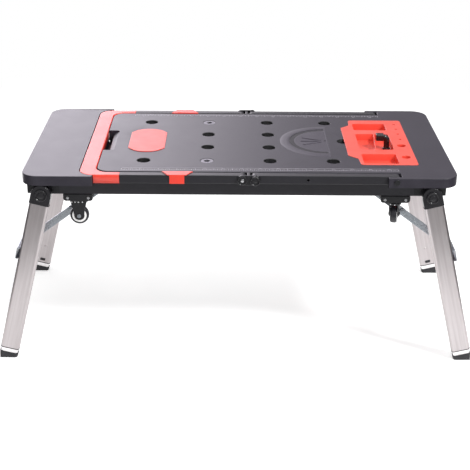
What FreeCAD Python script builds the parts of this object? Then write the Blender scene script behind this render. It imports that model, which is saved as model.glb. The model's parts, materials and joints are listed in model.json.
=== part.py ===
import FreeCAD, Part
import math
import os

# Multifunction folding workbench, millimetres, +Z up, standing on its four feet.
# Origin: on the floor, midway between the feet. +X runs along the deck to the tray end, -Y is the front.
# The deck, handle and tray are drawn about the deck's own middle and carried to their place when saved.

V = FreeCAD.Vector
UP = V(0, 0, 1)
ALONG = V(1, 0, 0)
ACROSS = V(0, 1, 0)
ORIGIN = V(0, 0, 0)
FULL_TURN = 360.0
HALF_TURN = 180.0
HEX = 6

# Driving dimensions of the whole bench
bench_height = 555.0
deck_length = 1170.0
deck_width = 600.0
deck_shift = 7.5
overrun = 2.0

# Fits
pin_fit = 0.05
slide_fit = 0.3
plate_gap = 0.5
swing_gap = 1.5

# Deck panel and end panel mouldings
skin = 4.0
wall = 3.0
rib = 2.6
rib_depth = 14.0
edge_depth = 24.0
skirt_depth = 27.0
corner_radius = 45.0
centre_side_gap = 5.0
centre_corner = 32.0
end_panel_length = 152.0
left_panel_length = 152.0
cheek_length = 36.0
cheek_thickness = 12.0
left_tail = 40.0
rim_break = 1.2

# Dog holes
hole_radius = 18.0
hole_chamfer = 1.5
hole_sleeve = 3.0
sleeve_depth = 20.0
row_inset = 88.0
first_column_inset = 121.0
last_column_inset = 325.0
insert_bore = 8.0
insert_height = 12.0
insert_drop = 0.6

# Protractor groove, finger slot and plate on the deck
protractor_setback = 8.0
protractor_radius = 126.0
protractor_band = 16.0
groove_depth = 1.0
finger_slot_depth = 31.0
finger_slot_half = 87.0
finger_slot_corner = 9.0
plate_length = 200.0
plate_width = 104.0
plate_arch = 12.0
plate_chamfer = 16.0
plate_shoulder = 20.0
plate_thickness = 3.0
plate_recess = 1.5

# Tool tray
tray_end_inset = 93.0
tray_length = 158.0
tray_side_inset = 61.0
tab_length = 26.0
tab_root_setback = 3.0
tab_flat_inset = 75.0
tab_root_inset = 49.0
tray_corner = 9.0
rim_thickness = 3.0
rim_recess = 2.0
ledge = 6.0
tub_depth = 20.0
tub_wall = 2.4
tub_corner = 7.0
tub_inset = 9.0
tub_length = 97.0
tub_row_shares = ((0.52, 0.832), (-0.362, 0.337), (-0.954, -0.556))
divider_front_share = 0.46
divider_rear_share = 0.57
divider_thickness = 3.0
cup_inset = 26.0
cup_radius = 12.5
cup_row_shares = (-0.679, -0.184)
bit_inset = 22.0
bit_radius = 4.2
bit_sleeve = 2.0
bit_row_shares = (0.102, 0.347, 0.582, 0.806)
bit_depth = 16.0
tray_lift_recess = 22.0
lift_cup_depth = 12.0

# Bench dog kept in the tray
dog_end_inset = 13.0
dog_y = -8.0
dog_radius = 8.0
dog_foot_radius = 11.0
dog_foot_height = 5.0
dog_bend = 9.0
dog_rise = 17.0
dog_neck = 1.0
dog_head_length = 22.0
dog_head_width = 24.0
dog_head_height = 19.0
dog_head_corner = 3.0

# Folding handle frame
bar_side_inset = 14.0
bar_width = 24.0
bar_wall = 2.0
bar_corner = 2.0
grip_edge_gap = 2.0
grip_width = 43.5
grip_outer_corner = 40.0
grip_inner_corner = 34.0
grip_arm_length = 109.5
grip_edge_round = 3.0
spigot_length = 30.0
spigot_clearance = 0.1
loop_pivot = 7.0
arm_pivot = 41.0
handle_pivot_inset = 14.0
link_radius = 14.0
link_outer_plate = 5.2
link_inner_plate = 3.0
link_clearance = 0.8
hinge_pin_radius = 4.0
hinge_head_radius = 6.5
hinge_head_height = 2.5
hinge_knob_radius = 11.0
hinge_knob_height = 7.0
lock_hole_setback = 236.0
lock_hole_radius = 3.0
pivot_bolt_radius = 5.0
pivot_head_radius = 8.0
pivot_head_height = 3.0
clip_setback = 218.0
clip_wide = 83.0
clip_narrow = 50.0
clip_front = 40.0
clip_thickness = 2.2
clip_lip = 16.0
clip_lip_thickness = 2.6

# Lower frame
rail_step = 18.0
rail_width = 25.0
rail_depth = 39.0
rail_wall = 1.6
rail_corner = 2.5
mount_reach = 22.0
mount_lap = 40.0
mount_depth = 56.0
mount_tab_reach = 23.0
mount_wall = 3.0
mount_cheek = 6.0
mount_leg_gap = 1.8
tongue_radius = 21.0
screw_radius = 2.0
screw_head_radius = 4.5
screw_head_height = 2.6
screw_bite = 2.4
screw_inset = 160.0

# Legs
leg_pivot_inset = 60.5
leg_pivot_drop = 55.0
splay = 14.2
leg_width = 53.0
leg_depth = 26.0
leg_side_inset = 2.0
leg_corner = 8.0
leg_wall = 2.4
leg_start = 14.0
show_inner = 14.0
foot_height = 17.0
inner_wall = 2.0
inner_start = 90.0
hub_radius = 27.0
hub_side = 1.0
hub_face = 2.0
hub_length = 29.0
hub_bolt_radius = 6.0
hub_knob_radius = 17.0
hub_knob_height = 5.0
hub_knob_gap = 0.3
hub_knob_break = 1.5
foot_wrap = 2.0
foot_socket = 9.0
foot_corner = 7.0
button_width = 16.0
button_height = 8.0
button_above_end = 13.0
button_proud = 1.6
button_corner = 1.5
rivet_radius = 4.0
rivet_height = 1.0
rivet_above_end = 60.0
crossbar_centre = 184.0
crossbar_height = 34.0
crossbar_depth = 8.0
crossbar_wall = 2.0
crossbar_corner = 2.0

# Folding braces
brace_inset = 75.0
brace_plate = 3.0
brace_width = 20.0
brace_rivet = 4.0
brace_head = 6.5
brace_head_height = 1.8
anchor_drop = 52.0
knee_share = 0.502
brace_foot_reach = 177.0
brace_foot_offset = 12.0
anchor_width = 30.0
anchor_height = 18.5
anchor_wall = 2.5
ear_radius = 9.0

# Casters
caster_setback = 95.0
caster_inset = 16.0
caster_plate = 3.0
caster_length = 80.0
caster_width = 36.0
flange_height = 19.0
flange_corner = 8.0
caster_bolt_pitch = 56.0
caster_bolt_drop = 10.0
caster_bolt_radius = 3.0
caster_bolt_head = 4.2
caster_bolt_head_height = 2.0
axle_drop = 65.0
wheel_radius = 26.0
wheel_width = 18.0
tyre_inner = 19.5
tyre_shoulder = 5.0
core_inset = 1.0
hub_boss_radius = 8.0
axle_radius = 4.0
axle_head = 6.0
axle_head_height = 2.0
fork_gap = 1.5
fork_plate = 3.0
fork_top_half = 33.0
fork_shoulder_half = 24.0
fork_waist_half = 16.5
fork_waist_drop = 24.0
fork_tip_radius = 11.5
fork_web = 4.0
swivel_stem = 6.0
swivel_disc_radius = 19.5
swivel_disc_height = 5.0
swivel_gap = 2.0
swivel_trail = 20.5
swivel_rest_turn = 15.0

# Places along the bench, worked out from the driving dimensions
half_length = deck_length / 2
end_start = half_length - end_panel_length
cheek_start = end_start - cheek_length
left_panel_end = half_length - left_panel_length
left_tail_end = left_panel_end - left_tail
grip_outer = left_panel_end - swing_gap
grip_inner = grip_outer - grip_width
grip_arm_end = grip_outer - grip_arm_length
centre_start = grip_inner - grip_edge_gap
first_column = first_column_inset - centre_start
last_column = half_length - last_column_inset
hole_pitch = (last_column - first_column) / 3
columns = [first_column + i * hole_pitch for i in range(4)]
protractor_centre = last_column - protractor_setback
tray_end = half_length - tray_end_inset
tray_start = tray_end - tray_length
tab_root_start = tray_start - tab_root_setback
tab_start = tab_root_start - tab_length
tub_start = tray_start + tub_inset
tub_end = tub_start + tub_length
cup_column = tray_end - cup_inset
bit_column = tray_end - bit_inset
dog_x = tub_end - dog_end_inset
handle_pivot = end_start - handle_pivot_inset
lock_hole_x = handle_pivot - lock_hole_setback
clip_centre = centre_start - clip_setback
leg_pivot_x = half_length - leg_pivot_inset
mount_inner = leg_pivot_x - mount_reach
mount_outer = leg_pivot_x + mount_lap
anchor_x = leg_pivot_x - brace_foot_reach
caster_x = leg_pivot_x - caster_setback

# Places across the bench
half_width = deck_width / 2
cheek_inner = half_width - cheek_thickness
bar_outer = half_width - bar_side_inset
bar_inner = bar_outer - bar_width
tail_inner = bar_outer + swing_gap
centre_half_width = bar_inner - centre_side_gap
outer_row = centre_half_width - row_inset
inner_row = outer_row / 3
tray_half = centre_half_width - tray_side_inset
tab_flat_half = tray_half - tab_flat_inset
tab_root_half = tray_half - tab_root_inset
cup_rows = [share * tray_half for share in cup_row_shares]
bit_rows = [share * tray_half for share in bit_row_shares]
screw_row = half_width - screw_inset
screw_rows = (-screw_row, screw_row)
rail_outer = bar_outer - rail_step
rail_inner = rail_outer - rail_width
leg_outer = half_width - leg_side_inset
leg_inner = leg_outer - leg_depth
leg_middle_y = (leg_inner + leg_outer) / 2
mount_cheek_outer = leg_inner - mount_leg_gap
brace_plane = leg_inner - brace_inset
caster_line = rail_outer - caster_inset

# Levels
deck_top = bench_height
skin_under = deck_top - skin
rib_under = skin_under - rib_depth
edge_bottom = deck_top - edge_depth
skirt_bottom = deck_top - skirt_depth
tray_floor = deck_top - rim_recess - tub_depth
bar_bottom = edge_bottom + slide_fit
bar_middle = (deck_top + bar_bottom) / 2
bar_end_radius = (deck_top - bar_bottom) / 2
rail_bottom = edge_bottom - rail_depth
mount_bottom = skin_under - mount_depth
pivot_z = bench_height - leg_pivot_drop
anchor_z = bench_height - anchor_drop
axle_z = rail_bottom - axle_drop

# Reaches down a leg
splay_rad = math.radians(splay)
ground_reach = pivot_z / math.cos(splay_rad)
foot_top = ground_reach - foot_height
leg_end = foot_top - show_inner
inner_section_width = leg_width - 2 * leg_wall - 2 * slide_fit
inner_section_depth = leg_depth - 2 * leg_wall - 2 * slide_fit


# Outlines

def flat(z):
    """A drawing plane at height z."""
    return lambda u, v: V(u, v, z)


def facing_front(y):
    """An upright drawing plane across the bench at y, drawn in x and z."""
    return lambda u, v: V(u, y, v)


def facing_side(x):
    """An upright drawing plane at x, drawn in y and z."""
    return lambda u, v: V(x, u, v)


def rounded_face(corners, plane):
    """A flat face through corners (u, v, radius), each turned with its own radius."""
    edges = []
    stops = []
    count = len(corners)
    for i, (u, v, radius) in enumerate(corners):
        here = V(u, v, 0)
        back = V(corners[i - 1][0], corners[i - 1][1], 0).sub(here).normalize()
        ahead_corner = corners[(i + 1) % count]
        ahead = V(ahead_corner[0], ahead_corner[1], 0).sub(here).normalize()
        if radius > 0:
            half = back.getAngle(ahead) / 2
            run = radius / math.tan(half)
            start = here.add(back * run)
            stop = here.add(ahead * run)
            inward = back.add(ahead).normalize()
            middle = here.add(inward * (radius / math.sin(half) - radius))
            points = [plane(p.x, p.y) for p in (start, middle, stop)]
            edges.append(Part.Arc(*points).toShape())
            stops.append((points[0], points[2]))
        else:
            stops.append((plane(u, v), plane(u, v)))
    for i in range(count):
        start = stops[i][1]
        stop = stops[(i + 1) % count][0]
        if start.distanceToPoint(stop) > 0.000001 * deck_length:
            edges.append(Part.LineSegment(start, stop).toShape())
    return Part.Face(Part.Wire(Part.__sortEdges__(edges)))


def slab(corners, low, high):
    """A plate lying flat, with an outline drawn from above."""
    return rounded_face(corners, flat(low)).extrude(UP * (high - low))


def upright(corners, near, far):
    """A plate standing across the bench, with an outline drawn from the front."""
    return rounded_face(corners, facing_front(near)).extrude(ACROSS * (far - near))


def side_plate(corners, left, right):
    """A plate standing along the bench's width, with an outline drawn from the side."""
    return rounded_face(corners, facing_side(left)).extrude(ALONG * (right - left))


def rectangle(u0, v0, u1, v1, radius):
    """The four corners of a rounded rectangle."""
    return [(u0, v0, radius), (u1, v0, radius), (u1, v1, radius), (u0, v1, radius)]


def box(x0, y0, z0, x1, y1, z1):
    return Part.makeBox(x1 - x0, y1 - y0, z1 - z0, V(x0, y0, z0))


def post(radius, x, y, z0, z1):
    """A round bar standing upright."""
    return Part.makeCylinder(radius, z1 - z0, V(x, y, z0), UP)


def cross_pin(radius, x, z, y0, y1):
    """A round bar lying across the bench."""
    return Part.makeCylinder(radius, y1 - y0, V(x, y0, z), ACROSS)


def hexagon(radius, at, axis, height):
    """A hexagonal bolt head standing on a point, along X, Y or Z."""
    head = Part.makePolygon([at.add(turned_point(radius, i, axis)) for i in range(HEX + 1)])
    return Part.Face(head).extrude(axis * height)


def turned_point(radius, step, axis):
    """The corner of a regular hexagon in the plane square to an axis."""
    angle = step * math.radians(FULL_TURN / HEX)
    first = UP if axis.z == 0 else ALONG
    return first * (radius * math.cos(angle)) + axis.cross(first) * (radius * math.sin(angle))


def fuse(shapes):
    whole = shapes[0].multiFuse(shapes[1:]) if len(shapes) > 1 else shapes[0]
    return whole.removeSplitter()


def mirror_x(shape):
    return shape.mirror(ORIGIN, ALONG)


def mirror_y(shape):
    return shape.mirror(ORIGIN, ACROSS)


def both_sides(shape):
    """A piece at the rear and its twin at the front, as separate solids."""
    return Part.Compound([shape, mirror_y(shape)])


def save(name, shape):
    shape.exportStep(os.path.join("parts", name + ".step"))


def save_on_deck(name, shape):
    """Carry a piece from the deck's own middle to its place on the frame, then save it."""
    placed = shape.copy()
    placed.translate(ALONG * deck_shift)
    save(name, placed)


# Deck

def deck_outline(inset):
    """The deck with its tray end, drawn from above, inset from every edge."""
    near = centre_half_width - inset
    end = half_length - inset
    side = half_width - inset
    front = [
        (-centre_start + inset, -near, centre_corner - inset),
        (end_start + inset, -near, 0),
        (end_start + inset, -cheek_inner - inset, 0),
        (cheek_start + inset, -cheek_inner - inset, 0),
        (cheek_start + inset, -side, 0),
        (end, -side, corner_radius - inset),
    ]
    rear = [(x, -y, radius) for x, y, radius in reversed(front)]
    return front + rear


def deck_pocket():
    """The hollow under the deck, leaving the skin, the walls and the solid pivot cheeks."""
    inner = centre_half_width - wall
    long_pocket = slab(
        rectangle(-centre_start + wall, -inner, half_length - wall, inner, wall),
        skirt_bottom - overrun, skin_under)
    end_pocket = slab(
        rectangle(end_start + wall, -half_width + wall, half_length - wall, half_width - wall,
                  corner_radius - wall),
        skirt_bottom - overrun, skin_under)
    return long_pocket.fuse(end_pocket)


def deck_ribs():
    """Stiffening ribs between the rows and columns of dog holes."""
    span = centre_half_width - wall / 2
    ribs = []
    for x in columns:
        middle = x + hole_pitch / 2
        ribs.append(box(middle - rib / 2, -span, rib_under, middle + rib / 2, span, skin_under))
    for y in (-(outer_row + inner_row) / 2, 0, (outer_row + inner_row) / 2):
        ribs.append(box(-centre_start + wall / 2, y - rib / 2, rib_under,
                        mount_inner - deck_shift - plate_gap, y + rib / 2, skin_under))
    return ribs


def tray_outline(grow):
    """The tray's rim drawn from above, grown by a clearance or shrunk to its opening."""
    front = [
        (tray_end + grow, -tray_half - grow, tray_corner),
        (tray_start - grow, -tray_half - grow, tray_corner),
        (tab_root_start - grow, -tab_root_half - grow, 0),
        (tab_start - grow, -tab_flat_half - grow, 0),
    ]
    rear = [(x, -y, radius) for x, y, radius in reversed(front)]
    return front + rear


def dog_hole_places():
    """Where the twelve dog holes stand: two at each end column, four at each middle one."""
    places = []
    for i, x in enumerate(columns):
        rows = (-outer_row, outer_row)
        if i in (1, 2):
            rows = (-outer_row, -inner_row, inner_row, outer_row)
        places += [(x, y) for y in rows]
    return places


def dog_hole(x, y):
    """A through hole with a chamfered rim."""
    bore = post(hole_radius, x, y, skirt_bottom - overrun, deck_top + overrun)
    rim = Part.makeCone(hole_radius, hole_radius + hole_chamfer, hole_chamfer,
                        V(x, y, deck_top - hole_chamfer), UP)
    return bore.fuse(rim)


def plate_outline(grow):
    """The corners of the plate and the reach of its arched ends, grown by a clearance."""
    half = plate_width / 2 + grow
    reach = plate_length / 2 + grow
    arch = reach - plate_arch
    neck = half - plate_chamfer
    shoulder = arch - plate_shoulder
    points = [(half, -shoulder), (half, shoulder), (neck, arch),
              (-neck, arch), (-half, shoulder), (-half, -shoulder), (-neck, -arch), (neck, -arch)]
    return points, reach


def plate_body(grow, low, high):
    """The plate's solid: straight sides, cut corners and arched ends."""
    points, reach = plate_outline(grow)
    place = [V(first_column + u, v, low) for u, v in points]
    rear_top = V(first_column, reach, low)
    front_top = V(first_column, -reach, low)
    edges = [
        Part.LineSegment(place[0], place[1]).toShape(),
        Part.LineSegment(place[1], place[2]).toShape(),
        Part.Arc(place[2], rear_top, place[3]).toShape(),
        Part.LineSegment(place[3], place[4]).toShape(),
        Part.LineSegment(place[4], place[5]).toShape(),
        Part.LineSegment(place[5], place[6]).toShape(),
        Part.Arc(place[6], front_top, place[7]).toShape(),
        Part.LineSegment(place[7], place[0]).toShape(),
    ]
    return Part.Face(Part.Wire(edges)).extrude(UP * (high - low))


def protractor_groove():
    """A half ring with its flat side along the width, pressed into the deck."""
    low = deck_top - groove_depth
    high = deck_top + overrun
    ring = post(protractor_radius, protractor_centre, 0, low, high).cut(
        post(protractor_radius - protractor_band, protractor_centre, 0, low, high))
    half = box(protractor_centre - protractor_radius, -protractor_radius, low,
               protractor_centre, protractor_radius, high)
    return ring.common(half)


def deck_panel():
    body = slab(deck_outline(0), skirt_bottom, deck_top)
    body = body.cut(deck_pocket())
    under_edge = box(-centre_start - overrun, -cheek_inner, skirt_bottom - overrun,
                     mount_inner - deck_shift + overrun, cheek_inner, edge_bottom)
    body = body.cut(under_edge)
    sleeves = [post(hole_radius + hole_sleeve, x, y, deck_top - sleeve_depth, skin_under)
               for x, y in dog_hole_places()]
    frame = slab(tray_outline(-ledge + wall), rib_under, skin_under)
    lift_cup = post(tray_lift_recess + wall, tab_start, 0, deck_top - lift_cup_depth - wall, skin_under)
    body = fuse([body] + deck_ribs() + sleeves + [frame, lift_cup])
    body = body.cut(Part.Compound([dog_hole(x, y) for x, y in dog_hole_places()]))
    body = body.cut(slab(tray_outline(-ledge), skirt_bottom - overrun, deck_top + overrun))
    body = body.cut(slab(tray_outline(slide_fit), deck_top - rim_recess, deck_top + overrun))
    body = body.cut(post(tray_lift_recess, tab_start, 0, deck_top - lift_cup_depth, deck_top + overrun))
    body = body.cut(plate_body(pin_fit, deck_top - plate_recess, deck_top + overrun))
    body = body.cut(protractor_groove())
    finger_slot = slab(
        rectangle(-centre_start - finger_slot_depth, -finger_slot_half,
                  -centre_start + finger_slot_depth, finger_slot_half, finger_slot_corner),
        skirt_bottom - overrun, deck_top + overrun)
    body = body.cut(finger_slot)
    bolts = cross_pin(pivot_bolt_radius + pin_fit, handle_pivot, bar_middle,
                      -half_width - overrun, half_width + overrun)
    body = body.cut(bolts)
    return body.cut(screw_bores(leg_pivot_x - deck_shift)).removeSplitter()


def deck_plate():
    return plate_body(0, deck_top - plate_recess, deck_top - plate_recess + plate_thickness)


def left_end_panel():
    """The end panel beyond the handle, with side tails that run past the grip's corners."""
    inner_corner = grip_outer_corner + swing_gap
    front = [
        (-half_length, -half_width, corner_radius),
        (-left_tail_end, -half_width, rim_break),
        (-left_tail_end, -tail_inner, rim_break),
        (-left_panel_end, -tail_inner, inner_corner),
    ]
    outline = front + [(x, -y, radius) for x, y, radius in reversed(front)]
    body = slab(outline, skirt_bottom, deck_top)
    pocket = slab(
        rectangle(-half_length + wall, -half_width + wall, -left_panel_end - wall,
                  half_width - wall, inner_corner),
        skirt_bottom - overrun, skin_under)
    inner_edge = -mount_inner - deck_shift
    clear_rail = box(inner_edge - overrun, -rail_outer - slide_fit, skirt_bottom - overrun,
                     -left_panel_end + inner_corner, rail_outer + slide_fit, edge_bottom)
    body = body.cut(pocket).cut(clear_rail)
    ribs = [box(inner_edge + overrun, y - rib / 2, rib_under, -left_panel_end - wall / 2,
                y + rib / 2, skin_under)
            for y in (-(outer_row + inner_row) / 2, 0, (outer_row + inner_row) / 2)]
    body = fuse([body] + ribs)
    return body.cut(screw_bores(-leg_pivot_x - deck_shift)).removeSplitter()


def clamp_inserts():
    """Metal bushes in the two outer holes of the second column."""
    high = deck_top - insert_drop
    bush = post(hole_radius - pin_fit, columns[1], outer_row, high - insert_height, high)
    bush = bush.cut(post(insert_bore, columns[1], outer_row, high - insert_height, high))
    return both_sides(bush)


# Tool tray and its bench dog

def tub_places():
    """The three tubs' openings, from rear to front."""
    return [(tub_start, low * tray_half, tub_end, high * tray_half) for low, high in tub_row_shares]


def tub_outlines():
    """The hollows of the tubs: a slanting divider splits the middle one."""
    rear, middle, front = tub_places()
    x0, y0, x1, y1 = middle
    divider_front = x0 + divider_front_share * tub_length
    divider_rear = x0 + divider_rear_share * tub_length
    half = divider_thickness / 2
    left = [(x0, y0, tub_corner), (divider_front - half, y0, tub_corner),
            (divider_rear - half, y1, tub_corner), (x0, y1, tub_corner)]
    right = [(divider_front + half, y0, tub_corner), (x1, y0, tub_corner),
             (x1, y1, tub_corner), (divider_rear + half, y1, tub_corner)]
    return [rectangle(*rear, tub_corner), left, right, rectangle(*front, tub_corner)]


def tool_tray():
    rim_low = deck_top - rim_recess
    body = slab(tray_outline(0), rim_low, rim_low + rim_thickness)
    tubs = [slab(rectangle(x0 - tub_wall, y0 - tub_wall, x1 + tub_wall, y1 + tub_wall,
                           tub_corner + tub_wall), tray_floor, rim_low)
            for x0, y0, x1, y1 in tub_places()]
    cups = [post(cup_radius + bit_sleeve, cup_column, y, tray_floor, rim_low) for y in cup_rows]
    sleeves = [post(bit_radius + bit_sleeve, bit_column, y, rim_low - bit_depth, rim_low)
               for y in bit_rows]
    body = fuse([body] + tubs + cups + sleeves)
    high = deck_top + overrun
    hollows = [slab(outline, tray_floor + tub_wall, high) for outline in tub_outlines()]
    hollows += [post(cup_radius, cup_column, y, tray_floor + tub_wall, high) for y in cup_rows]
    hollows += [post(bit_radius, bit_column, y, rim_low - bit_depth - overrun, high)
                for y in bit_rows]
    return body.cut(Part.Compound(hollows)).removeSplitter()


def bench_dog():
    """A hooked dog standing in the middle tub: foot, stem, bend and square head."""
    floor = tray_floor + tub_wall
    bend_start = deck_top + dog_rise - dog_bend
    foot = post(dog_foot_radius, dog_x, dog_y, floor, floor + dog_foot_height)
    stem = post(dog_radius, dog_x, dog_y, floor, bend_start)
    section = Part.Face(Part.Wire(Part.makeCircle(dog_radius, V(dog_x, dog_y, bend_start), UP)))
    bend = section.revolve(V(dog_x - dog_bend, dog_y, bend_start), ACROSS, -HALF_TURN / 2)
    neck_end = dog_x - dog_bend - dog_neck
    neck = Part.makeCylinder(dog_radius, dog_neck, V(neck_end, dog_y, bend_start + dog_bend), ALONG)
    head = box(neck_end - dog_head_length, dog_y - dog_head_width / 2,
               bend_start + dog_bend - dog_head_height / 2, neck_end,
               dog_y + dog_head_width / 2, bend_start + dog_bend + dog_head_height / 2)
    long_edges = [e for e in head.Edges if e.BoundBox.XLength > dog_head_corner]
    head = head.makeChamfer(dog_head_corner, long_edges)
    return fuse([foot, stem, bend, neck, head])


# Folding handle frame

def bar_profile(start, end, start_round, end_round):
    """A bar seen from the front, with round ends where it turns on a pin."""
    return [(start, bar_bottom, start_round), (end, bar_bottom, end_round),
            (end, deck_top, end_round), (start, deck_top, start_round)]


def hollow_bar(start, end, start_round, end_round, hollow_start, hollow_end):
    """A square tube at the rear, its bore kept inside the given stretch."""
    outer = upright(bar_profile(start, end, start_round, end_round), bar_inner, bar_outer)
    bore = box(hollow_start, bar_inner + bar_wall, bar_bottom + bar_wall,
               hollow_end, bar_outer - bar_wall, deck_top - bar_wall)
    return outer.cut(bore)


def end_round():
    """Nearly the full half height, so the end stays a clean pair of arcs."""
    return bar_end_radius - slide_fit


def handle_arm():
    arm = hollow_bar(arm_pivot - bar_end_radius, handle_pivot + bar_end_radius, end_round(), end_round(),
                     arm_pivot + bar_end_radius, handle_pivot - bar_end_radius)
    holes = [
        cross_pin(hinge_pin_radius + pin_fit, arm_pivot, bar_middle, bar_inner - overrun,
                  bar_outer + overrun),
        cross_pin(pivot_bolt_radius + pin_fit, handle_pivot, bar_middle, bar_inner - overrun,
                  bar_outer + overrun),
        cross_pin(lock_hole_radius, lock_hole_x, bar_middle, bar_outer - bar_wall - overrun,
                  bar_outer + overrun),
    ]
    return arm.cut(Part.Compound(holes))


def handle_tube():
    tube = hollow_bar(-grip_arm_end, loop_pivot + bar_end_radius, 0, end_round(),
                      -grip_arm_end - overrun, loop_pivot - bar_end_radius)
    return tube.cut(cross_pin(hinge_pin_radius + pin_fit, loop_pivot, bar_middle,
                              bar_inner - overrun, bar_outer + overrun))


def handle_grip():
    """The moulded U that closes the frame and plugs into both tubes."""
    outer = [
        (-grip_outer, -bar_outer, grip_outer_corner),
        (-grip_arm_end, -bar_outer, 0),
        (-grip_arm_end, -bar_inner, 0),
        (-grip_inner, -bar_inner, grip_inner_corner),
    ]
    outline = outer + [(x, -y, radius) for x, y, radius in reversed(outer)]
    body = slab(outline, bar_bottom, deck_top)
    edges = [e for e in body.Edges
             if e.BoundBox.ZMin > deck_top - overrun and e.BoundBox.XMax < -grip_arm_end - overrun]
    top_edges = [e for e in edges if e.BoundBox.XLength + e.BoundBox.YLength > bar_corner]
    body = body.makeFillet(grip_edge_round, top_edges)
    inset = bar_wall + spigot_clearance
    spigot = box(-grip_arm_end, bar_inner + inset, bar_bottom + inset, -grip_arm_end + spigot_length,
                 bar_outer - inset, deck_top - inset)
    return fuse([body, spigot, mirror_y(spigot)])


def hinge_link():
    """The double hinge: two eyes on each side plate, joined by a web between the bars."""
    eyes = rectangle(loop_pivot - link_radius, bar_middle - link_radius, arm_pivot + link_radius,
                     bar_middle + link_radius, link_radius - bar_corner / 2)
    outer = upright(eyes, bar_outer + link_clearance, bar_outer + link_clearance + link_outer_plate)
    slim_eyes = bar_profile(loop_pivot - bar_end_radius, arm_pivot + bar_end_radius, end_round(),
                            end_round())
    inner = upright(slim_eyes, bar_inner - link_clearance - link_inner_plate,
                    bar_inner - link_clearance)
    web_start = loop_pivot + bar_end_radius + link_clearance
    web_end = arm_pivot - bar_end_radius - link_clearance
    web = box(web_start, bar_inner - link_clearance, bar_middle - bar_end_radius, web_end,
              bar_outer + link_clearance, bar_middle + bar_end_radius)
    body = fuse([outer, inner, web])
    pins = [cross_pin(hinge_pin_radius + pin_fit, x, bar_middle, bar_inner - bar_width, half_width)
            for x in (loop_pivot, arm_pivot)]
    return body.cut(Part.Compound(pins))


def hinge_pins():
    """The rivet with its bright head and the pin with its round knob."""
    start = bar_inner - link_clearance - link_inner_plate
    face = bar_outer + link_clearance + link_outer_plate
    rivet = cross_pin(hinge_pin_radius, loop_pivot, bar_middle, start, face).fuse(
        cross_pin(hinge_head_radius, loop_pivot, bar_middle, face, face + hinge_head_height))
    knob = cross_pin(hinge_pin_radius, arm_pivot, bar_middle, start, face).fuse(
        cross_pin(hinge_knob_radius, arm_pivot, bar_middle, face, face + hinge_knob_height))
    pair = Part.Compound([rivet, knob])
    return both_sides(pair)


def handle_pivot_bolts():
    start = centre_half_width - wall
    bolt = cross_pin(pivot_bolt_radius, handle_pivot, bar_middle, start, half_width).fuse(
        cross_pin(pivot_head_radius, handle_pivot, bar_middle, half_width,
                  half_width + pivot_head_height))
    return both_sides(bolt)


def latch_clip():
    """A tapered clip over the tube, with a lip in the deck gap and a tongue down the outside."""
    inner = bar_inner - clip_lip_thickness - pin_fit
    face = bar_outer + clip_lip_thickness
    cover = slab([
        (-clip_centre - clip_wide / 2, inner, 0),
        (-clip_centre + clip_wide / 2, inner, 0),
        (-clip_centre + clip_narrow / 2, face, clip_thickness),
        (-clip_centre - clip_narrow / 2, face, clip_thickness),
    ], deck_top, deck_top + clip_thickness)
    tongue = box(-clip_centre - clip_front / 2, bar_outer, bar_bottom,
                 -clip_centre + clip_front / 2, face, deck_top)
    lip = box(-clip_centre - clip_wide / 2, inner, deck_top - clip_lip,
              -clip_centre + clip_wide / 2, bar_inner, deck_top)
    return fuse([cover, tongue, lip])


# Lower frame

def lower_rail():
    outer = side_plate(rectangle(rail_inner, rail_bottom, rail_outer, edge_bottom, rail_corner),
                       -mount_inner, mount_inner)
    bore = side_plate(
        rectangle(rail_inner + rail_wall, rail_bottom + rail_wall, rail_outer - rail_wall,
                  edge_bottom - rail_wall, rail_corner - rail_wall),
        -mount_inner - overrun, mount_inner + overrun)
    return outer.cut(bore)


def screw_bores(x):
    """The upright bores for the screws that hold a panel on its leg mount."""
    low = skin_under - mount_wall
    return Part.Compound([post(screw_radius + pin_fit, x, y, low, skin_under + screw_bite)
                          for y in screw_rows])


def panel_screws():
    screws = []
    for x in (-leg_pivot_x, leg_pivot_x):
        for y in screw_rows:
            low = skin_under - mount_wall
            shank = post(screw_radius, x, y, low, skin_under + screw_bite)
            head = hexagon(screw_head_radius, V(x, y, low - screw_head_height), UP, screw_head_height)
            screws.append(shank.fuse(head).removeSplitter())
    return Part.Compound(screws)


def leg_mount():
    """The right cross-member: an open channel with end cheeks that carry the leg pivots."""
    outer = box(mount_inner, -mount_cheek_outer, mount_bottom, mount_outer, mount_cheek_outer, skin_under)
    hollow = box(mount_inner + mount_wall, -mount_cheek_outer + mount_cheek, mount_bottom - overrun,
                 mount_outer - mount_wall, mount_cheek_outer - mount_cheek, skin_under - mount_wall)
    tongue = upright([
        (leg_pivot_x - tongue_radius, mount_bottom + mount_wall, 0),
        (leg_pivot_x - tongue_radius, pivot_z - tongue_radius, tongue_radius - mount_wall),
        (leg_pivot_x + tongue_radius, pivot_z - tongue_radius, tongue_radius - mount_wall),
        (leg_pivot_x + tongue_radius, mount_bottom + mount_wall, 0),
    ], mount_cheek_outer - mount_cheek, mount_cheek_outer)
    tab = box(mount_inner - mount_tab_reach, rail_outer + slide_fit, mount_bottom,
              mount_inner + mount_wall, mount_cheek_outer, edge_bottom)
    body = fuse([outer.cut(hollow), tongue, mirror_y(tongue), tab, mirror_y(tab)])
    body = body.cut(cross_pin(hub_bolt_radius + pin_fit, leg_pivot_x, pivot_z,
                              -mount_cheek_outer - overrun, mount_cheek_outer + overrun))
    return body.cut(screw_bores(leg_pivot_x))


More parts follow.
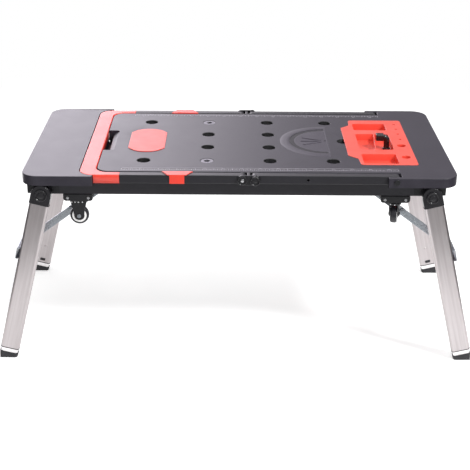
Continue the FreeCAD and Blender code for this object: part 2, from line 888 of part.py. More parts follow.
def leg_pivot_knobs():
    """The four pivot bolts with their round heads."""
    knobs = []
    for x in (-leg_pivot_x, leg_pivot_x):
        face = leg_outer + hub_face + hub_knob_gap
        shank = cross_pin(hub_bolt_radius, x, pivot_z, mount_cheek_outer - mount_cheek, face)
        head = cross_pin(hub_knob_radius, x, pivot_z, face, face + hub_knob_height - hub_knob_break)
        rim = Part.makeCone(hub_knob_radius, hub_knob_radius - hub_knob_break, hub_knob_break,
                            V(x, face + hub_knob_height - hub_knob_break, pivot_z), ACROSS)
        knob = fuse([shank, head, rim])
        knobs += [knob, mirror_y(knob)]
    return Part.Compound(knobs)


def brace_anchor():
    """The right cross-member under the deck, with an ear for each upper brace link."""
    left = anchor_x - anchor_width / 2
    right = anchor_x + anchor_width / 2
    top = edge_bottom - plate_gap
    low = edge_bottom - anchor_height
    outer = box(left, -rail_inner, low, right, rail_inner, top)
    hollow = box(left + anchor_wall, -rail_inner - overrun, low - overrun, right - anchor_wall,
                 rail_inner + overrun, top - anchor_wall)
    near = brace_plane - 2 * brace_plate - plate_gap
    ear = upright([
        (anchor_x - ear_radius, low + anchor_height / 2, 0),
        (anchor_x - ear_radius, anchor_z - ear_radius, ear_radius - anchor_wall),
        (anchor_x + ear_radius, anchor_z - ear_radius, ear_radius - anchor_wall),
        (anchor_x + ear_radius, low + anchor_height / 2, 0),
    ], near, near + brace_plate)
    web = box(left + anchor_wall / 2, near, low, right - anchor_wall / 2, near + brace_plate,
              top - anchor_wall / 2)
    rivet = cross_pin(brace_rivet, anchor_x, anchor_z, near + brace_plate, brace_plane + pin_fit)
    head = cross_pin(brace_head, anchor_x, anchor_z, near - brace_head_height, near)
    parts = [ear, web, rivet, head]
    return fuse([outer.cut(hollow)] + parts + [mirror_y(p) for p in parts])


# Braces

def leg_place(reach, offset):
    """The point at a reach down the right leg and an offset to its outer side."""
    x = leg_pivot_x + reach * math.sin(splay_rad) + offset * math.cos(splay_rad)
    z = pivot_z - reach * math.cos(splay_rad) + offset * math.sin(splay_rad)
    return x, z


def brace_foot():
    return leg_place(brace_foot_reach, brace_foot_offset)


def knee():
    """The knee lies on the straight line from the anchor to the leg bracket."""
    foot_x, foot_z = brace_foot()
    return (anchor_x + knee_share * (foot_x - anchor_x),
            anchor_z + knee_share * (foot_z - anchor_z))


def brace_link(x0, z0, x1, z1, near):
    """A flat link with round ends between two pivots, drawn from the front."""
    length = math.hypot(x1 - x0, z1 - z0)
    angle = math.degrees(math.atan2(z1 - z0, x1 - x0))
    half = brace_width / 2
    face = rounded_face(
        rectangle(-half, -half, length + half, half, half - plate_gap), facing_front(0))
    link = face.extrude(ACROSS * brace_plate)
    link.rotate(ORIGIN, ACROSS, -angle)
    link.translate(V(x0, near, z0))
    return link


def brace_upper():
    knee_at = knee()
    near = brace_plane - brace_plate
    link = brace_link(anchor_x, anchor_z, knee_at[0], knee_at[1], near)
    link = link.cut(cross_pin(brace_rivet + pin_fit, anchor_x, anchor_z, near - overrun,
                              near + brace_plate + overrun))
    head = cross_pin(brace_head, knee_at[0], knee_at[1], near - brace_head_height, near)
    return both_sides(link.fuse(head).removeSplitter())


def brace_lower():
    knee_at = knee()
    foot_at = brace_foot()
    near = brace_plane + plate_gap
    link = brace_link(knee_at[0], knee_at[1], foot_at[0], foot_at[1], near)
    link = link.cut(cross_pin(brace_rivet + pin_fit, foot_at[0], foot_at[1], near - overrun,
                              near + brace_plate + overrun))
    far = near + brace_plate
    head = cross_pin(brace_head, knee_at[0], knee_at[1], far, far + brace_head_height)
    return both_sides(link.fuse(head).removeSplitter())


# Legs, built hanging straight down from the pivot at the origin, then splayed

def set_leg(shape):
    """Splay a piece of the right leg and carry it to the right pivot."""
    placed = shape.copy()
    placed.rotate(ORIGIN, ACROSS, -splay)
    placed.translate(V(leg_pivot_x, 0, pivot_z))
    return placed


def leg_section(width, depth, radius, top, bottom):
    """A rounded rectangular bar round the rear leg's centre line."""
    return slab(rectangle(-width / 2, leg_middle_y - depth / 2, width / 2, leg_middle_y + depth / 2,
                          radius), -bottom, -top)


def rear_leg_tube():
    outer = leg_section(leg_width, leg_depth, leg_corner, leg_start, leg_end)
    bore = leg_section(leg_width - 2 * leg_wall, leg_depth - 2 * leg_wall, leg_corner - leg_wall,
                       leg_start - overrun, leg_end + overrun)
    middle = -leg_end + button_above_end
    window = box(-button_width / 2 - pin_fit, leg_inner - overrun, middle - button_height / 2 - pin_fit,
                 button_width / 2 + pin_fit, leg_inner + leg_wall + overrun,
                 middle + button_height / 2 + pin_fit)
    stud = Part.makeCylinder(rivet_radius, rivet_height + leg_wall,
                             V(0, leg_inner - rivet_height, -leg_end + rivet_above_end), ACROSS)
    solid_stud = stud.cut(bore)
    return fuse([outer.cut(bore).cut(window), solid_stud])


def rear_hub_cap():
    """The moulded hub that holds the tube's head and turns on the pivot bolt."""
    near = leg_inner - hub_side
    far = leg_outer + hub_face
    head = Part.makeCylinder(hub_radius, far - near, V(0, near, 0), ACROSS)
    sleeve = box(-hub_radius, near, -hub_length, hub_radius, far, 0)
    body = fuse([head, sleeve])
    socket = leg_section(leg_width, leg_depth, leg_corner, leg_start, hub_length + overrun)
    bore = Part.makeCylinder(hub_bolt_radius + pin_fit, far - near + 2 * overrun,
                             V(0, near - overrun, 0), ACROSS)
    return body.cut(socket).cut(bore)


def leg_crossbar():
    """A channel across the outer faces of both legs, with an ear for each lower brace link."""
    face = leg_width / 2
    low = -crossbar_centre - crossbar_height / 2
    high = -crossbar_centre + crossbar_height / 2
    outer = box(face, -leg_outer, low, face + crossbar_depth, leg_outer, high)
    outer = outer.makeFillet(crossbar_corner, [e for e in outer.Edges
                                               if e.BoundBox.XMin > face + crossbar_depth / 2
                                               and e.BoundBox.YLength > leg_outer])
    hollow = box(face - overrun, -leg_outer - overrun, low + crossbar_wall,
                 face + crossbar_depth - crossbar_wall, leg_outer + overrun, high - crossbar_wall)
    near = brace_plane + 2 * plate_gap + brace_plate
    ear = side_ear(near)
    rivet = Part.makeCylinder(brace_rivet, near - brace_plane - pin_fit,
                              V(brace_foot_offset, brace_plane + pin_fit, -brace_foot_reach), ACROSS)
    head = Part.makeCylinder(brace_head, brace_head_height,
                             V(brace_foot_offset, near + brace_plate, -brace_foot_reach), ACROSS)
    parts = [ear, rivet, head]
    return fuse([outer.cut(hollow)] + parts + [mirror_y(p) for p in parts])


def side_ear(near):
    """The bracket plate from the crossbar's web in to the lower link's pivot."""
    start = brace_foot_offset - ear_radius
    end = leg_width / 2 + crossbar_depth - crossbar_wall / 2
    half = crossbar_height / 2 - crossbar_wall / 2
    return upright([
        (start, -brace_foot_reach - ear_radius, ear_radius - plate_gap),
        (end, -crossbar_centre - half, 0),
        (end, -crossbar_centre + half, 0),
        (start, -brace_foot_reach + ear_radius, ear_radius - plate_gap),
    ], near, near + brace_plate)


def rear_inner_leg():
    end = foot_top + foot_socket
    outer = leg_section(inner_section_width, inner_section_depth, leg_corner - leg_wall, inner_start, end)
    bore = leg_section(inner_section_width - 2 * inner_wall, inner_section_depth - 2 * inner_wall, 0,
                       inner_start - overrun, end + overrun)
    slot_end = -leg_end + button_above_end
    slot = box(-button_width / 2 - slide_fit, leg_inner - overrun, slot_end - button_height / 2 - slide_fit,
               button_width / 2 + slide_fit, leg_middle_y - inner_section_depth / 4,
               slot_end + button_height / 2 + slide_fit)
    return outer.cut(bore).cut(slot)


def rear_foot(place):
    """The rubber shoe, cut level where it meets the floor."""
    width = inner_section_width + 2 * foot_wrap
    depth = inner_section_depth + 2 * foot_wrap
    shoe = leg_section(width, depth, foot_corner, foot_top, ground_reach + leg_width)
    socket = leg_section(inner_section_width, inner_section_depth, leg_corner - leg_wall,
                         foot_top - overrun, foot_top + foot_socket)
    placed = place(shoe.cut(socket))
    outer_corner = leg_place(foot_top, width / 2)[0]
    below = box(-deck_length, -deck_width, -bench_height, deck_length, deck_width, 0)
    beyond = box(outer_corner, -deck_width, -bench_height, deck_length, deck_width, bench_height)
    return placed.cut(below).cut(beyond)


def rear_button():
    """The release button that stands a little out of its window in the tube."""
    middle = -leg_end + button_above_end
    cap = box(-button_width / 2, leg_inner - button_proud, middle - button_height / 2,
              button_width / 2, leg_inner + leg_wall, middle + button_height / 2)
    return cap.makeFillet(button_corner, [e for e in cap.Edges if e.BoundBox.YLength > button_corner])


# Casters

def lathe_across(profile, x, y, z):
    """Turn a profile of (radius, width) points about an axle that lies across the bench."""
    points = [V(x + radius, y + across, z) for radius, across in profile]
    wire = Part.makePolygon(points + [points[0]])
    return Part.Face(wire).revolve(V(x, y, z), ACROSS, FULL_TURN)


def wheel(x, y, z):
    """A tyre round a dished core, as two solids on one axle."""
    half = wheel_width / 2
    crown = half - tyre_shoulder
    edge = wheel_radius - tyre_shoulder / 2
    tyre = lathe_across([(tyre_inner, -half), (edge, -half), (wheel_radius, -crown),
                         (wheel_radius, crown), (edge, half), (tyre_inner, half)], x, y, z)
    bore = axle_radius + pin_fit
    core = lathe_across([
        (bore, -half), (hub_boss_radius, -half), (hub_boss_radius, -half + core_inset),
        (tyre_inner, -half + core_inset), (tyre_inner, half - core_inset),
        (hub_boss_radius, half - core_inset), (hub_boss_radius, half), (bore, half)], x, y, z)
    return Part.Compound([tyre, core])


def turned_wheel(x, y, z):
    """A wheel whose axle lies along the bench."""
    turned = wheel(x, y, z)
    turned.rotate(V(x, y, z), UP, HALF_TURN / 2)
    return turned


def caster_mount(x):
    """The inverted channel under the rail, with a flange on each side."""
    half = caster_length / 2
    near = caster_line - caster_width / 2
    far = caster_line + caster_width / 2
    low = rail_bottom - flange_height
    plate = box(x - half, near, rail_bottom - caster_plate, x + half, far, rail_bottom)
    profile = [(x - half, rail_bottom, 0), (x + half, rail_bottom, 0),
               (x + half, low, flange_corner), (x - half, low, flange_corner)]
    flanges = [upright(profile, near, near + caster_plate), upright(profile, far - caster_plate, far)]
    return fuse([plate] + flanges).cut(bolt_bores(x))


def bolt_bores(x):
    near = caster_line - caster_width
    far = caster_line + caster_width
    return Part.Compound([
        cross_pin(caster_bolt_radius + pin_fit, x + side * caster_bolt_pitch / 2,
                  rail_bottom - caster_bolt_drop, near, far) for side in (-1, 1)])


def caster_bolts(x):
    """Two bolts through the flanges of one caster, with a head at each end."""
    near = caster_line - caster_width / 2
    far = caster_line + caster_width / 2
    bolts = []
    for side in (-1, 1):
        at = x + side * caster_bolt_pitch / 2
        z = rail_bottom - caster_bolt_drop
        bolts.append(fuse([
            cross_pin(caster_bolt_radius, at, z, near, far),
            hexagon(caster_bolt_head, V(at, near - caster_bolt_head_height, z), ACROSS,
                    caster_bolt_head_height),
            hexagon(caster_bolt_head, V(at, far, z), ACROSS, caster_bolt_head_height)]))
    return bolts


def fork_top(x, low):
    """The channel that the bolts hold between the flanges."""
    high = rail_bottom - caster_plate
    web = box(x - fork_top_half, caster_line - caster_width / 2 + caster_plate, high - fork_web,
              x + fork_top_half, caster_line + caster_width / 2 - caster_plate, high)
    cheeks = []
    for y0 in fork_cheek_starts(caster_line):
        cheeks.append(box(x - fork_top_half, y0, low, x + fork_top_half, y0 + fork_plate, high))
    return [web] + cheeks


def fork_cheek_starts(middle):
    """Where the two cheek plates of a fork start, either side of a wheel."""
    offset = wheel_width / 2 + fork_gap
    return (middle - offset - fork_plate, middle + offset)


def rigid_fork():
    low = rail_bottom - flange_height
    pieces = fork_top(-caster_x, low)
    for y0 in fork_cheek_starts(caster_line):
        pieces.append(upright([
            (-caster_x - fork_shoulder_half, low + fork_web, 0),
            (-caster_x + fork_shoulder_half, low + fork_web, 0),
            (-caster_x + fork_waist_half, low - fork_waist_drop, fork_waist_half),
            (-caster_x + fork_tip_radius, axle_z - fork_tip_radius, fork_tip_radius - plate_gap),
            (-caster_x - fork_tip_radius, axle_z - fork_tip_radius, fork_tip_radius - plate_gap),
            (-caster_x - fork_waist_half, low - fork_waist_drop, fork_waist_half),
        ], y0, y0 + fork_plate))
    body = fuse(pieces)
    axle = cross_pin(axle_radius + pin_fit, -caster_x, axle_z, caster_line - caster_width,
                     caster_line + caster_width)
    return body.cut(axle).cut(bolt_bores(-caster_x))


def rigid_axle():
    outer = wheel_width / 2 + fork_gap + fork_plate
    return fuse([
        cross_pin(axle_radius, -caster_x, axle_z, caster_line - outer, caster_line + outer),
        hexagon(axle_head, V(-caster_x, caster_line + outer, axle_z), ACROSS, axle_head_height),
        hexagon(axle_head, V(-caster_x, caster_line - outer - axle_head_height, axle_z), ACROSS,
                axle_head_height)])


def at_rest_turn(shape):
    """Turn a piece of the rear swivel caster about its stem to where it rests."""
    turned = shape.copy()
    turned.rotate(V(caster_x, caster_line, 0), UP, swivel_rest_turn)
    return turned


def swivel_head():
    """The fixed half of the swivel: the bolted channel and the stem that the fork turns on."""
    low = rail_bottom - flange_height
    stem = post(swivel_stem, caster_x, caster_line, low - swivel_gap - swivel_disc_height,
                rail_bottom - caster_plate)
    return fuse(fork_top(caster_x, low) + [stem]).cut(bolt_bores(caster_x))


def swivel_fork():
    """The turning half: a disc on the stem and two cheeks that trail to the axle."""
    top = rail_bottom - flange_height - plate_gap
    low = top - swivel_gap - swivel_disc_height
    disc = post(swivel_disc_radius, caster_x, caster_line, low, top - swivel_gap + plate_gap)
    axle_y = caster_line - swivel_trail
    pieces = [disc]
    for x0 in fork_cheek_starts(caster_x):
        pieces.append(side_plate([
            (axle_y - axle_head - axle_radius, axle_z - fork_tip_radius / 2, axle_radius),
            (axle_y + axle_head + axle_radius, axle_z - fork_tip_radius / 2, axle_radius),
            (caster_line + swivel_disc_radius / 2, low + swivel_gap, 0),
            (axle_y + swivel_gap, low + swivel_gap, 0),
        ], x0, x0 + fork_plate))
    outer = wheel_width / 2 + fork_gap + fork_plate
    axle = Part.makeCylinder(axle_radius, 2 * outer, V(caster_x - outer, axle_y, axle_z), ALONG)
    heads = [hexagon(axle_head, V(x, axle_y, axle_z), ALONG, axle_head_height)
             for x in (caster_x - outer - axle_head_height, caster_x + outer)]
    body = fuse(pieces + [axle] + heads)
    return body.cut(post(swivel_stem + pin_fit, caster_x, caster_line, low - overrun, top + overrun))


# Building every piece

def build_deck():
    save_on_deck("deck_panel", deck_panel())
    save_on_deck("left_end_panel", left_end_panel())
    save_on_deck("deck_plate", deck_plate())
    save_on_deck("clamp_inserts", clamp_inserts())
    save_on_deck("tool_tray", tool_tray())
    save_on_deck("bench_dog", bench_dog())


def build_handle():
    arm = handle_arm()
    tube = handle_tube()
    link = hinge_link()
    clip = latch_clip()
    for side, turn in (("rear", lambda s: s), ("front", mirror_y)):
        save_on_deck("handle_arm_" + side, turn(arm))
        save_on_deck("handle_tube_" + side, turn(tube))
        save_on_deck("hinge_link_" + side, turn(link))
        save_on_deck("latch_clip_" + side, turn(clip))
    save_on_deck("handle_grip", handle_grip())
    save_on_deck("hinge_pins", hinge_pins())
    save_on_deck("handle_pivot_bolts", handle_pivot_bolts())


def build_frame():
    rail = lower_rail()
    save("lower_rail_rear", rail)
    save("lower_rail_front", mirror_y(rail))
    mount = leg_mount()
    save("leg_mount_right", mount)
    save("leg_mount_left", mirror_x(mount))
    anchor = brace_anchor()
    save("brace_anchor_right", anchor)
    save("brace_anchor_left", mirror_x(anchor))
    save("leg_pivot_knobs", leg_pivot_knobs())
    save("panel_screws", panel_screws())


def build_legs():
    tube = set_leg(rear_leg_tube())
    caps = both_sides(set_leg(rear_hub_cap()))
    crossbar = set_leg(leg_crossbar())
    inner = set_leg(rear_inner_leg())
    foot = rear_foot(set_leg)
    button = set_leg(rear_button())
    for side, turn in (("right", lambda s: s), ("left", mirror_x)):
        save(side + "_hub_caps", turn(caps))
        save(side + "_crossbar", turn(crossbar))
        save(side + "_brace_upper", turn(brace_upper()))
        save(side + "_brace_lower", turn(brace_lower()))
        for end, flip in (("rear", lambda s: s), ("front", mirror_y)):
            save(side + "_leg_tube_" + end, flip(turn(tube)))
            save(side + "_inner_leg_" + end, flip(turn(inner)))
            save(side + "_foot_" + end, flip(turn(foot)))
            save(side + "_leg_button_" + end, flip(turn(button)))


def build_casters():
    mounts = [caster_mount(-caster_x), caster_mount(caster_x)]
    save("caster_mounts", Part.Compound(mounts + [mirror_y(m) for m in mounts]))
    bolts = caster_bolts(-caster_x) + caster_bolts(caster_x)
    save("caster_bolts", Part.Compound(bolts + [mirror_y(b) for b in bolts]))
    save("rigid_forks", both_sides(rigid_fork()))
    save("rigid_axles", both_sides(rigid_axle()))
    save("swivel_heads", both_sides(swivel_head()))
    fixed = wheel(-caster_x, caster_line, axle_z)
    swivelled = at_rest_turn(turned_wheel(caster_x, caster_line - swivel_trail, axle_z))
    fork = at_rest_turn(swivel_fork())
    for end, flip in (("rear", lambda s: s), ("front", mirror_y)):
        save("rigid_wheel_" + end, flip(fixed))
        save("swivel_wheel_" + end, flip(swivelled))
        save("swivel_fork_" + end, flip(fork))


os.makedirs("parts", exist_ok=True)
build_deck()
build_handle()
build_frame()
build_legs()
build_casters()
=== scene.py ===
"""A folding workbench in its studio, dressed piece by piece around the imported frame.

The frame gives every size and place. Each sub-assembly is a class that softens its moulded and
pressed edges, models what the frame keeps plain, and gives every piece its finish.
"""
import json
import logging
import math
from dataclasses import dataclass, field
from enum import Enum
from typing import Callable

import bmesh
import bpy
from mathutils import Matrix, Vector


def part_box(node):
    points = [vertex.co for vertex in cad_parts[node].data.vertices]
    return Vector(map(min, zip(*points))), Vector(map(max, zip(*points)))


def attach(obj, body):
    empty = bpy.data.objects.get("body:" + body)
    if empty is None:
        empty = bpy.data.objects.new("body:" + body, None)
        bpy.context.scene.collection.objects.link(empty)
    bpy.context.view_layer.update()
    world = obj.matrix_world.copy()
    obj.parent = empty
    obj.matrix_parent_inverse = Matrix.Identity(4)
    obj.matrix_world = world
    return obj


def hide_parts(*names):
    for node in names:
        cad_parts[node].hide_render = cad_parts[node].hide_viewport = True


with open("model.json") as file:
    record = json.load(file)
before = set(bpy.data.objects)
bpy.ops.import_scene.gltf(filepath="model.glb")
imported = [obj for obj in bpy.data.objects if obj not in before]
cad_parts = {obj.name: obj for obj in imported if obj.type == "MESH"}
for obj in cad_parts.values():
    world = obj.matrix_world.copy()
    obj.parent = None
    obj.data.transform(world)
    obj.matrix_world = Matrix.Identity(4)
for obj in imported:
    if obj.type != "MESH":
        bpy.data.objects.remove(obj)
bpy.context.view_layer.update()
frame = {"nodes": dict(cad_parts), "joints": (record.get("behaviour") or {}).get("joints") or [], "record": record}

LOG = logging.getLogger("workbench")

MM = 0.001
PER_METRE = 1000.0
MERGE_MM = 0.002
FLAT_DEG = 1.0
EDGE_DEG = 30.0
SHARP_DEG = 50.0
TOUCH_MM = 0.01
CLOUD_DETAIL = 4.0
CLOUD_ROUGHNESS = 0.6
GRAIN_DETAIL = 3.0
GRAIN_ROUGHNESS = 0.55
COLOUR_BAND = (0.34, 0.66)
GLOSS_BAND = (0.3, 0.7)
SIDES = {"left": -1, "right": 1}
ENDS = {"front": -1, "rear": 1}

NODE_BODY = {node: body for body, nodes in frame["record"]["behaviour"]["bodies"].items()
             for node in nodes}
NODE_SLOT = {part["node"]: part["material_slot"] for part in frame["record"]["subparts"]}
PIVOTS = {joint["name"]: Vector(joint["pos_m"]) for joint in frame["joints"] if "pos_m" in joint}
SPINS = {joint["child"]: Vector(joint["axis"]) for joint in frame["joints"]}
DECK = (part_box("left_end_panel")[0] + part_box("deck_panel")[1]) / 2
DECK.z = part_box("deck_panel")[1].z


# Finishes

def linear(code: str) -> tuple[float, float, float, float]:
    """Turn an sRGB hex colour into the linear values that a shader takes.

    Args:
        code: a colour written as #rrggbb.

    Returns:
        Red, green, blue and an alpha of one.
    """
    values = []
    for start in (1, 3, 5):
        share = int(code[start:start + 2], 16) / 255.0
        values.append(share / 12.92 if share <= 0.04045 else ((share + 0.055) / 1.055) ** 2.4)
    return values[0], values[1], values[2], 1.0


def add(tree: bpy.types.NodeTree, kind: str, inputs: dict | None = None,
        **settings: object) -> bpy.types.Node:
    """Add a node with its settings and its links.

    Args:
        tree: the node tree it goes into.
        kind: the node's type.
        inputs: for each input socket a plain value, or a pair of a node and its output.
        settings: the node's own properties.

    Returns:
        The new node.
    """
    node = tree.nodes.new(kind)
    for key, value in settings.items():
        setattr(node, key, value)
    for key, value in (inputs or {}).items():
        if isinstance(value, tuple) and isinstance(value[0], bpy.types.Node):
            tree.links.new(value[0].outputs[value[1]], node.inputs[key])
        else:
            node.inputs[key].default_value = value
    return node


class Lay(Enum):
    """Which way a finish's fine lines run, as the stretch of its pattern."""

    EVEN = (1.0, 1.0, 1.0)
    ALONG_LEG = (1.0, 1.0, 0.03)


@dataclass(frozen=True)
class Finish:
    """One surface finish, as a maker would name it, built as a node material.

    Lengths are in millimetres. The grain is the fine relief of the surface. The cloud is the slow
    drift of its colour and gloss. The lay is the direction in which both are drawn out.
    """

    name: str
    colour: str
    shade: str
    roughness: float
    grain_mm: float
    grain_height_mm: float
    cloud_mm: float
    metallic: float = 0.0
    ior: float = 1.5
    coat: float = 0.0
    coat_roughness: float = 0.2
    drift: float = 0.06
    lay: Lay = Lay.EVEN
    tilt_deg: float = 0.0

    def material(self) -> bpy.types.Material:
        """Build the material, or find it if another piece has it already.

        Returns:
            The material, named for the finish.
        """
        known = bpy.data.materials.get(self.name)
        if known:
            return known
        material = bpy.data.materials.new(self.name)
        material.use_nodes = True
        tree = material.node_tree
        tree.nodes.clear()
        coordinates = add(tree, "ShaderNodeTexCoord")
        turned = add(tree, "ShaderNodeMapping", {
            "Vector": (coordinates, "Object"),
            "Rotation": (0.0, math.radians(self.tilt_deg), 0.0)})
        drawn = add(tree, "ShaderNodeMapping", {
            "Vector": (turned, "Vector"), "Scale": self.lay.value})
        cloud = add(tree, "ShaderNodeTexNoise", {
            "Vector": (drawn, "Vector"), "Scale": PER_METRE / self.cloud_mm,
            "Detail": CLOUD_DETAIL, "Roughness": CLOUD_ROUGHNESS})
        grain = add(tree, "ShaderNodeTexNoise", {
            "Vector": (drawn, "Vector"), "Scale": PER_METRE / self.grain_mm,
            "Detail": GRAIN_DETAIL, "Roughness": GRAIN_ROUGHNESS})
        mask = add(tree, "ShaderNodeMapRange", {
            "Value": (cloud, "Fac"), "From Min": COLOUR_BAND[0], "From Max": COLOUR_BAND[1]})
        colour = add(tree, "ShaderNodeMix", {
            0: (mask, "Result"), 6: linear(self.colour), 7: linear(self.shade)},
            data_type="RGBA")
        gloss = add(tree, "ShaderNodeMapRange", {
            "Value": (cloud, "Fac"), "From Min": GLOSS_BAND[0], "From Max": GLOSS_BAND[1],
            "To Min": self.roughness - self.drift, "To Max": self.roughness + self.drift})
        relief = add(tree, "ShaderNodeBump", {
            "Height": (grain, "Fac"), "Distance": self.grain_height_mm * MM, "Strength": 1.0})
        shader = add(tree, "ShaderNodeBsdfPrincipled", {
            "Base Color": (colour, 2), "Roughness": (gloss, "Result"),
            "Normal": (relief, "Normal"), "Metallic": self.metallic, "IOR": self.ior,
            "Coat Weight": self.coat, "Coat Roughness": self.coat_roughness})
        add(tree, "ShaderNodeOutputMaterial", {"Surface": (shader, "BSDF")})
        return material


# Filled polypropylene from a spark-eroded mould: a dark skin that goes pale grey against the light.
# The grain is drawn at 3 mm, coarser than the real 0.5 mm, so that it shows at all.
DECK_BLACK = Finish("filled_polypropylene_moulded", "#2a2730", "#302d36", 0.36, 3.0, 0.03, 45.0,
                    ior=1.50, drift=0.02)
# Painted shade: near-black on the dog holes' walls and the lift recess, for the shade inside them.
PAINTED_SHADE_BLACK = Finish("polypropylene_painted_bore_shade", "#0b0b0d", "#101013", 0.45, 2.0, 0.01, 20.0,
                    ior=1.45, drift=0.03)
# The pressed bushes of the clamps: dull nickel, greyer than the rivets.
BUSH_GREY = Finish("nickel_plated_bush", "#8b898f", "#7b7980", 0.42, 2.0, 0.01, 6.0,
                   metallic=1.0, drift=0.06)
# Powder-coated steel tube: an even black with a soft line of light along each rounded corner.
TUBE_BLACK = Finish("powder_coated_steel_tube", "#232227", "#1f1e23", 0.38, 2.0, 0.012, 40.0,
                    ior=1.5, drift=0.02)
# Black electro-coated pressings: a little darker and flatter than the tube.
FRAME_BLACK = Finish("electro_coated_steel_pressing", "#18181b", "#141417", 0.40, 2.0, 0.015, 25.0,
                     ior=1.5, drift=0.03)
# Moulded ABS, gloss: strong red that washes to pink where it faces the light.
GRIP_RED = Finish("abs_moulded_red", "#f2412f", "#ea3d2d", 0.36, 2.5, 0.02, 60.0,
                  ior=1.53, coat=0.36, coat_roughness=0.3, drift=0.03)
# Moulded polypropylene tray: a slightly lighter, softer red.
TRAY_RED = Finish("polypropylene_moulded_red", "#ee5544", "#e74e3d", 0.45, 2.5, 0.02, 50.0,
                  ior=1.49, coat=0.36, coat_roughness=0.35, drift=0.03)
# The bare oval plate, in the grip's red with a satin face.
PLATE_RED = Finish("abs_satin_plate_red", "#f04b3c", "#ea4638", 0.42, 2.5, 0.02, 40.0,
                   ior=1.53, coat=0.33, coat_roughness=0.32, drift=0.03)
# Bright zinc on steel: blue-grey with a fine crystal pattern.
ZINC = Finish("zinc_plated_steel", "#b4b9be", "#9ba1a8", 0.30, 3.0, 0.02, 6.0,
              metallic=1.0, drift=0.08)
# Polished rivet heads, which catch the lamps as single bright dots.
RIVET_BRIGHT = Finish("nickel_plated_rivet", "#d8d8da", "#c4c4c8", 0.18, 2.0, 0.005, 8.0,
                      metallic=1.0, drift=0.04)
# Rubber of the feet and buttons: deep black with hardly any gloss.
RUBBER = Finish("moulded_rubber", "#29282c", "#232226", 0.62, 2.0, 0.04, 20.0, ior=1.52)
# The cast and blackened bench dog.
DOG_BLACK = Finish("blackened_casting", "#0c0b0d", "#121114", 0.26, 2.2, 0.05, 12.0, ior=1.6)
# Polyurethane tyre of a caster.
TYRE_BLACK = Finish("polyurethane_tyre", "#1e1e22", "#26262b", 0.42, 2.0, 0.02, 14.0, ior=1.5)
# Nylon disc between a caster's tyre and its hub.
NYLON_WHITE = Finish("nylon_caster_disc", "#fbfafa", "#f4f3f2", 0.35, 2.0, 0.01, 12.0, ior=1.53,
                     drift=0.02)
# Dark grey nylon end collars of the leg tubes, seen as one thin dark line.
COLLAR_GREY = Finish("nylon_end_collar", "#3a3739", "#333032", 0.50, 2.0, 0.01, 12.0, ior=1.53)
# Nylon hubs, knobs and hinge links: a deep black with a small sharp gloss.
HUB_BLACK = Finish("nylon_moulded_black", "#1d1c20", "#18171b", 0.28, 2.2, 0.02, 20.0, ior=1.53,
                   drift=0.02)
# Pad-printed ruler marks.
INK = Finish("pad_printed_ink_grey", "#b9b5bc", "#a19da5", 0.55, 2.0, 0.0, 9.0)
# The protractor's raised ring and plateau: a lighter copy of the deck's plastic, a painted highlight.
PAINTED_HIGHLIGHT_GREY = Finish("polypropylene_painted_highlight", "#3b3741", "#423e48", 0.30, 3.0, 0.02, 45.0,
                   ior=1.5, drift=0.02)
# Its scale band: rough and matt as moulded, and painted darker as painted shade of its fine scale marks.
MATT_PAINTED_SHADE_BLACK = Finish("polypropylene_eroded_matt_painted_shade", "#1d1b21", "#222026", 0.60, 3.0, 0.04, 45.0,
                     ior=1.5, drift=0.02)


def anodised(tilt_deg: float, name: str, colour: str, shade: str) -> Finish:
    """Brushed and anodised aluminium, with its lay along a leg.

    The brush lines are drawn 2.5 mm apart, far coarser than the real ones, so that they show.

    Args:
        tilt_deg: how far the leg leans, turned about the bench's width.
        name: which aluminium it is.
        colour: its main colour.
        shade: the colour of its darker lines.

    Returns:
        The finish for a leg with that lean.
    """
    side = "left" if tilt_deg < 0 else "right"
    return Finish(f"anodised_{name}_{side}", colour, shade, 0.34, 2.5, 0.012, 9.0,
                  metallic=1.0, drift=0.05, lay=Lay.ALONG_LEG, tilt_deg=tilt_deg)


# Shapes

def merged_copy(node: str, join_flat: bool = True) -> bmesh.types.BMesh:
    """Copy a CAD node's mesh, with its doubles merged and its flat faces joined.

    Args:
        node: the CAD node's name.
        join_flat: whether facets that lie in one plane become one face.

    Returns:
        A new mesh to work on.
    """
    bm = bmesh.new()
    bm.from_mesh(frame["nodes"][node].data)
    bmesh.ops.remove_doubles(bm, verts=bm.verts, dist=MERGE_MM * MM)
    if join_flat:
        bmesh.ops.dissolve_limit(bm, angle_limit=math.radians(FLAT_DEG), verts=bm.verts,
                                 edges=bm.edges, use_dissolve_boundaries=False)
    return bm


def soften(bm: bmesh.types.BMesh, width_mm: float, segments: int = 2,
           chosen: Callable[[bmesh.types.BMEdge], bool] | None = None) -> None:
    """Round the sharp edges of a mesh.

    Args:
        bm: the mesh.
        width_mm: how far the rounding reaches from the edge.
        segments: the steps of the rounding.
        chosen: tells which of the sharp edges are meant, or all of them.
    """
    edges = [edge for edge in bm.edges if edge.is_manifold
             and abs(edge.calc_face_angle(0.0)) > math.radians(EDGE_DEG)
             and (chosen is None or chosen(edge))]
    if edges:
        bmesh.ops.bevel(bm, geom=edges, offset=width_mm * MM, offset_type="OFFSET",
                        segments=segments, profile=0.5, affect="EDGES", clamp_overlap=False,
                        material=-1)


def on_deck(x: float, y: float, up: float = 0.0) -> Vector:
    """Turn a place counted from the middle of the deck's top, in millimetres, into metres."""
    return DECK + Vector((x, y, up)) * MM


def block(bm: bmesh.types.BMesh, low: Vector, high: Vector) -> list[bmesh.types.BMVert]:
    """Add a box between two corners, in metres.

    Args:
        bm: the mesh it joins.
        low: the lowest corner.
        high: the highest corner.

    Returns:
        The box's eight corners.
    """
    matrix = Matrix.Translation((low + high) / 2) @ Matrix.Diagonal((*(high - low), 1.0))
    return bmesh.ops.create_cube(bm, size=1.0, matrix=matrix)["verts"]


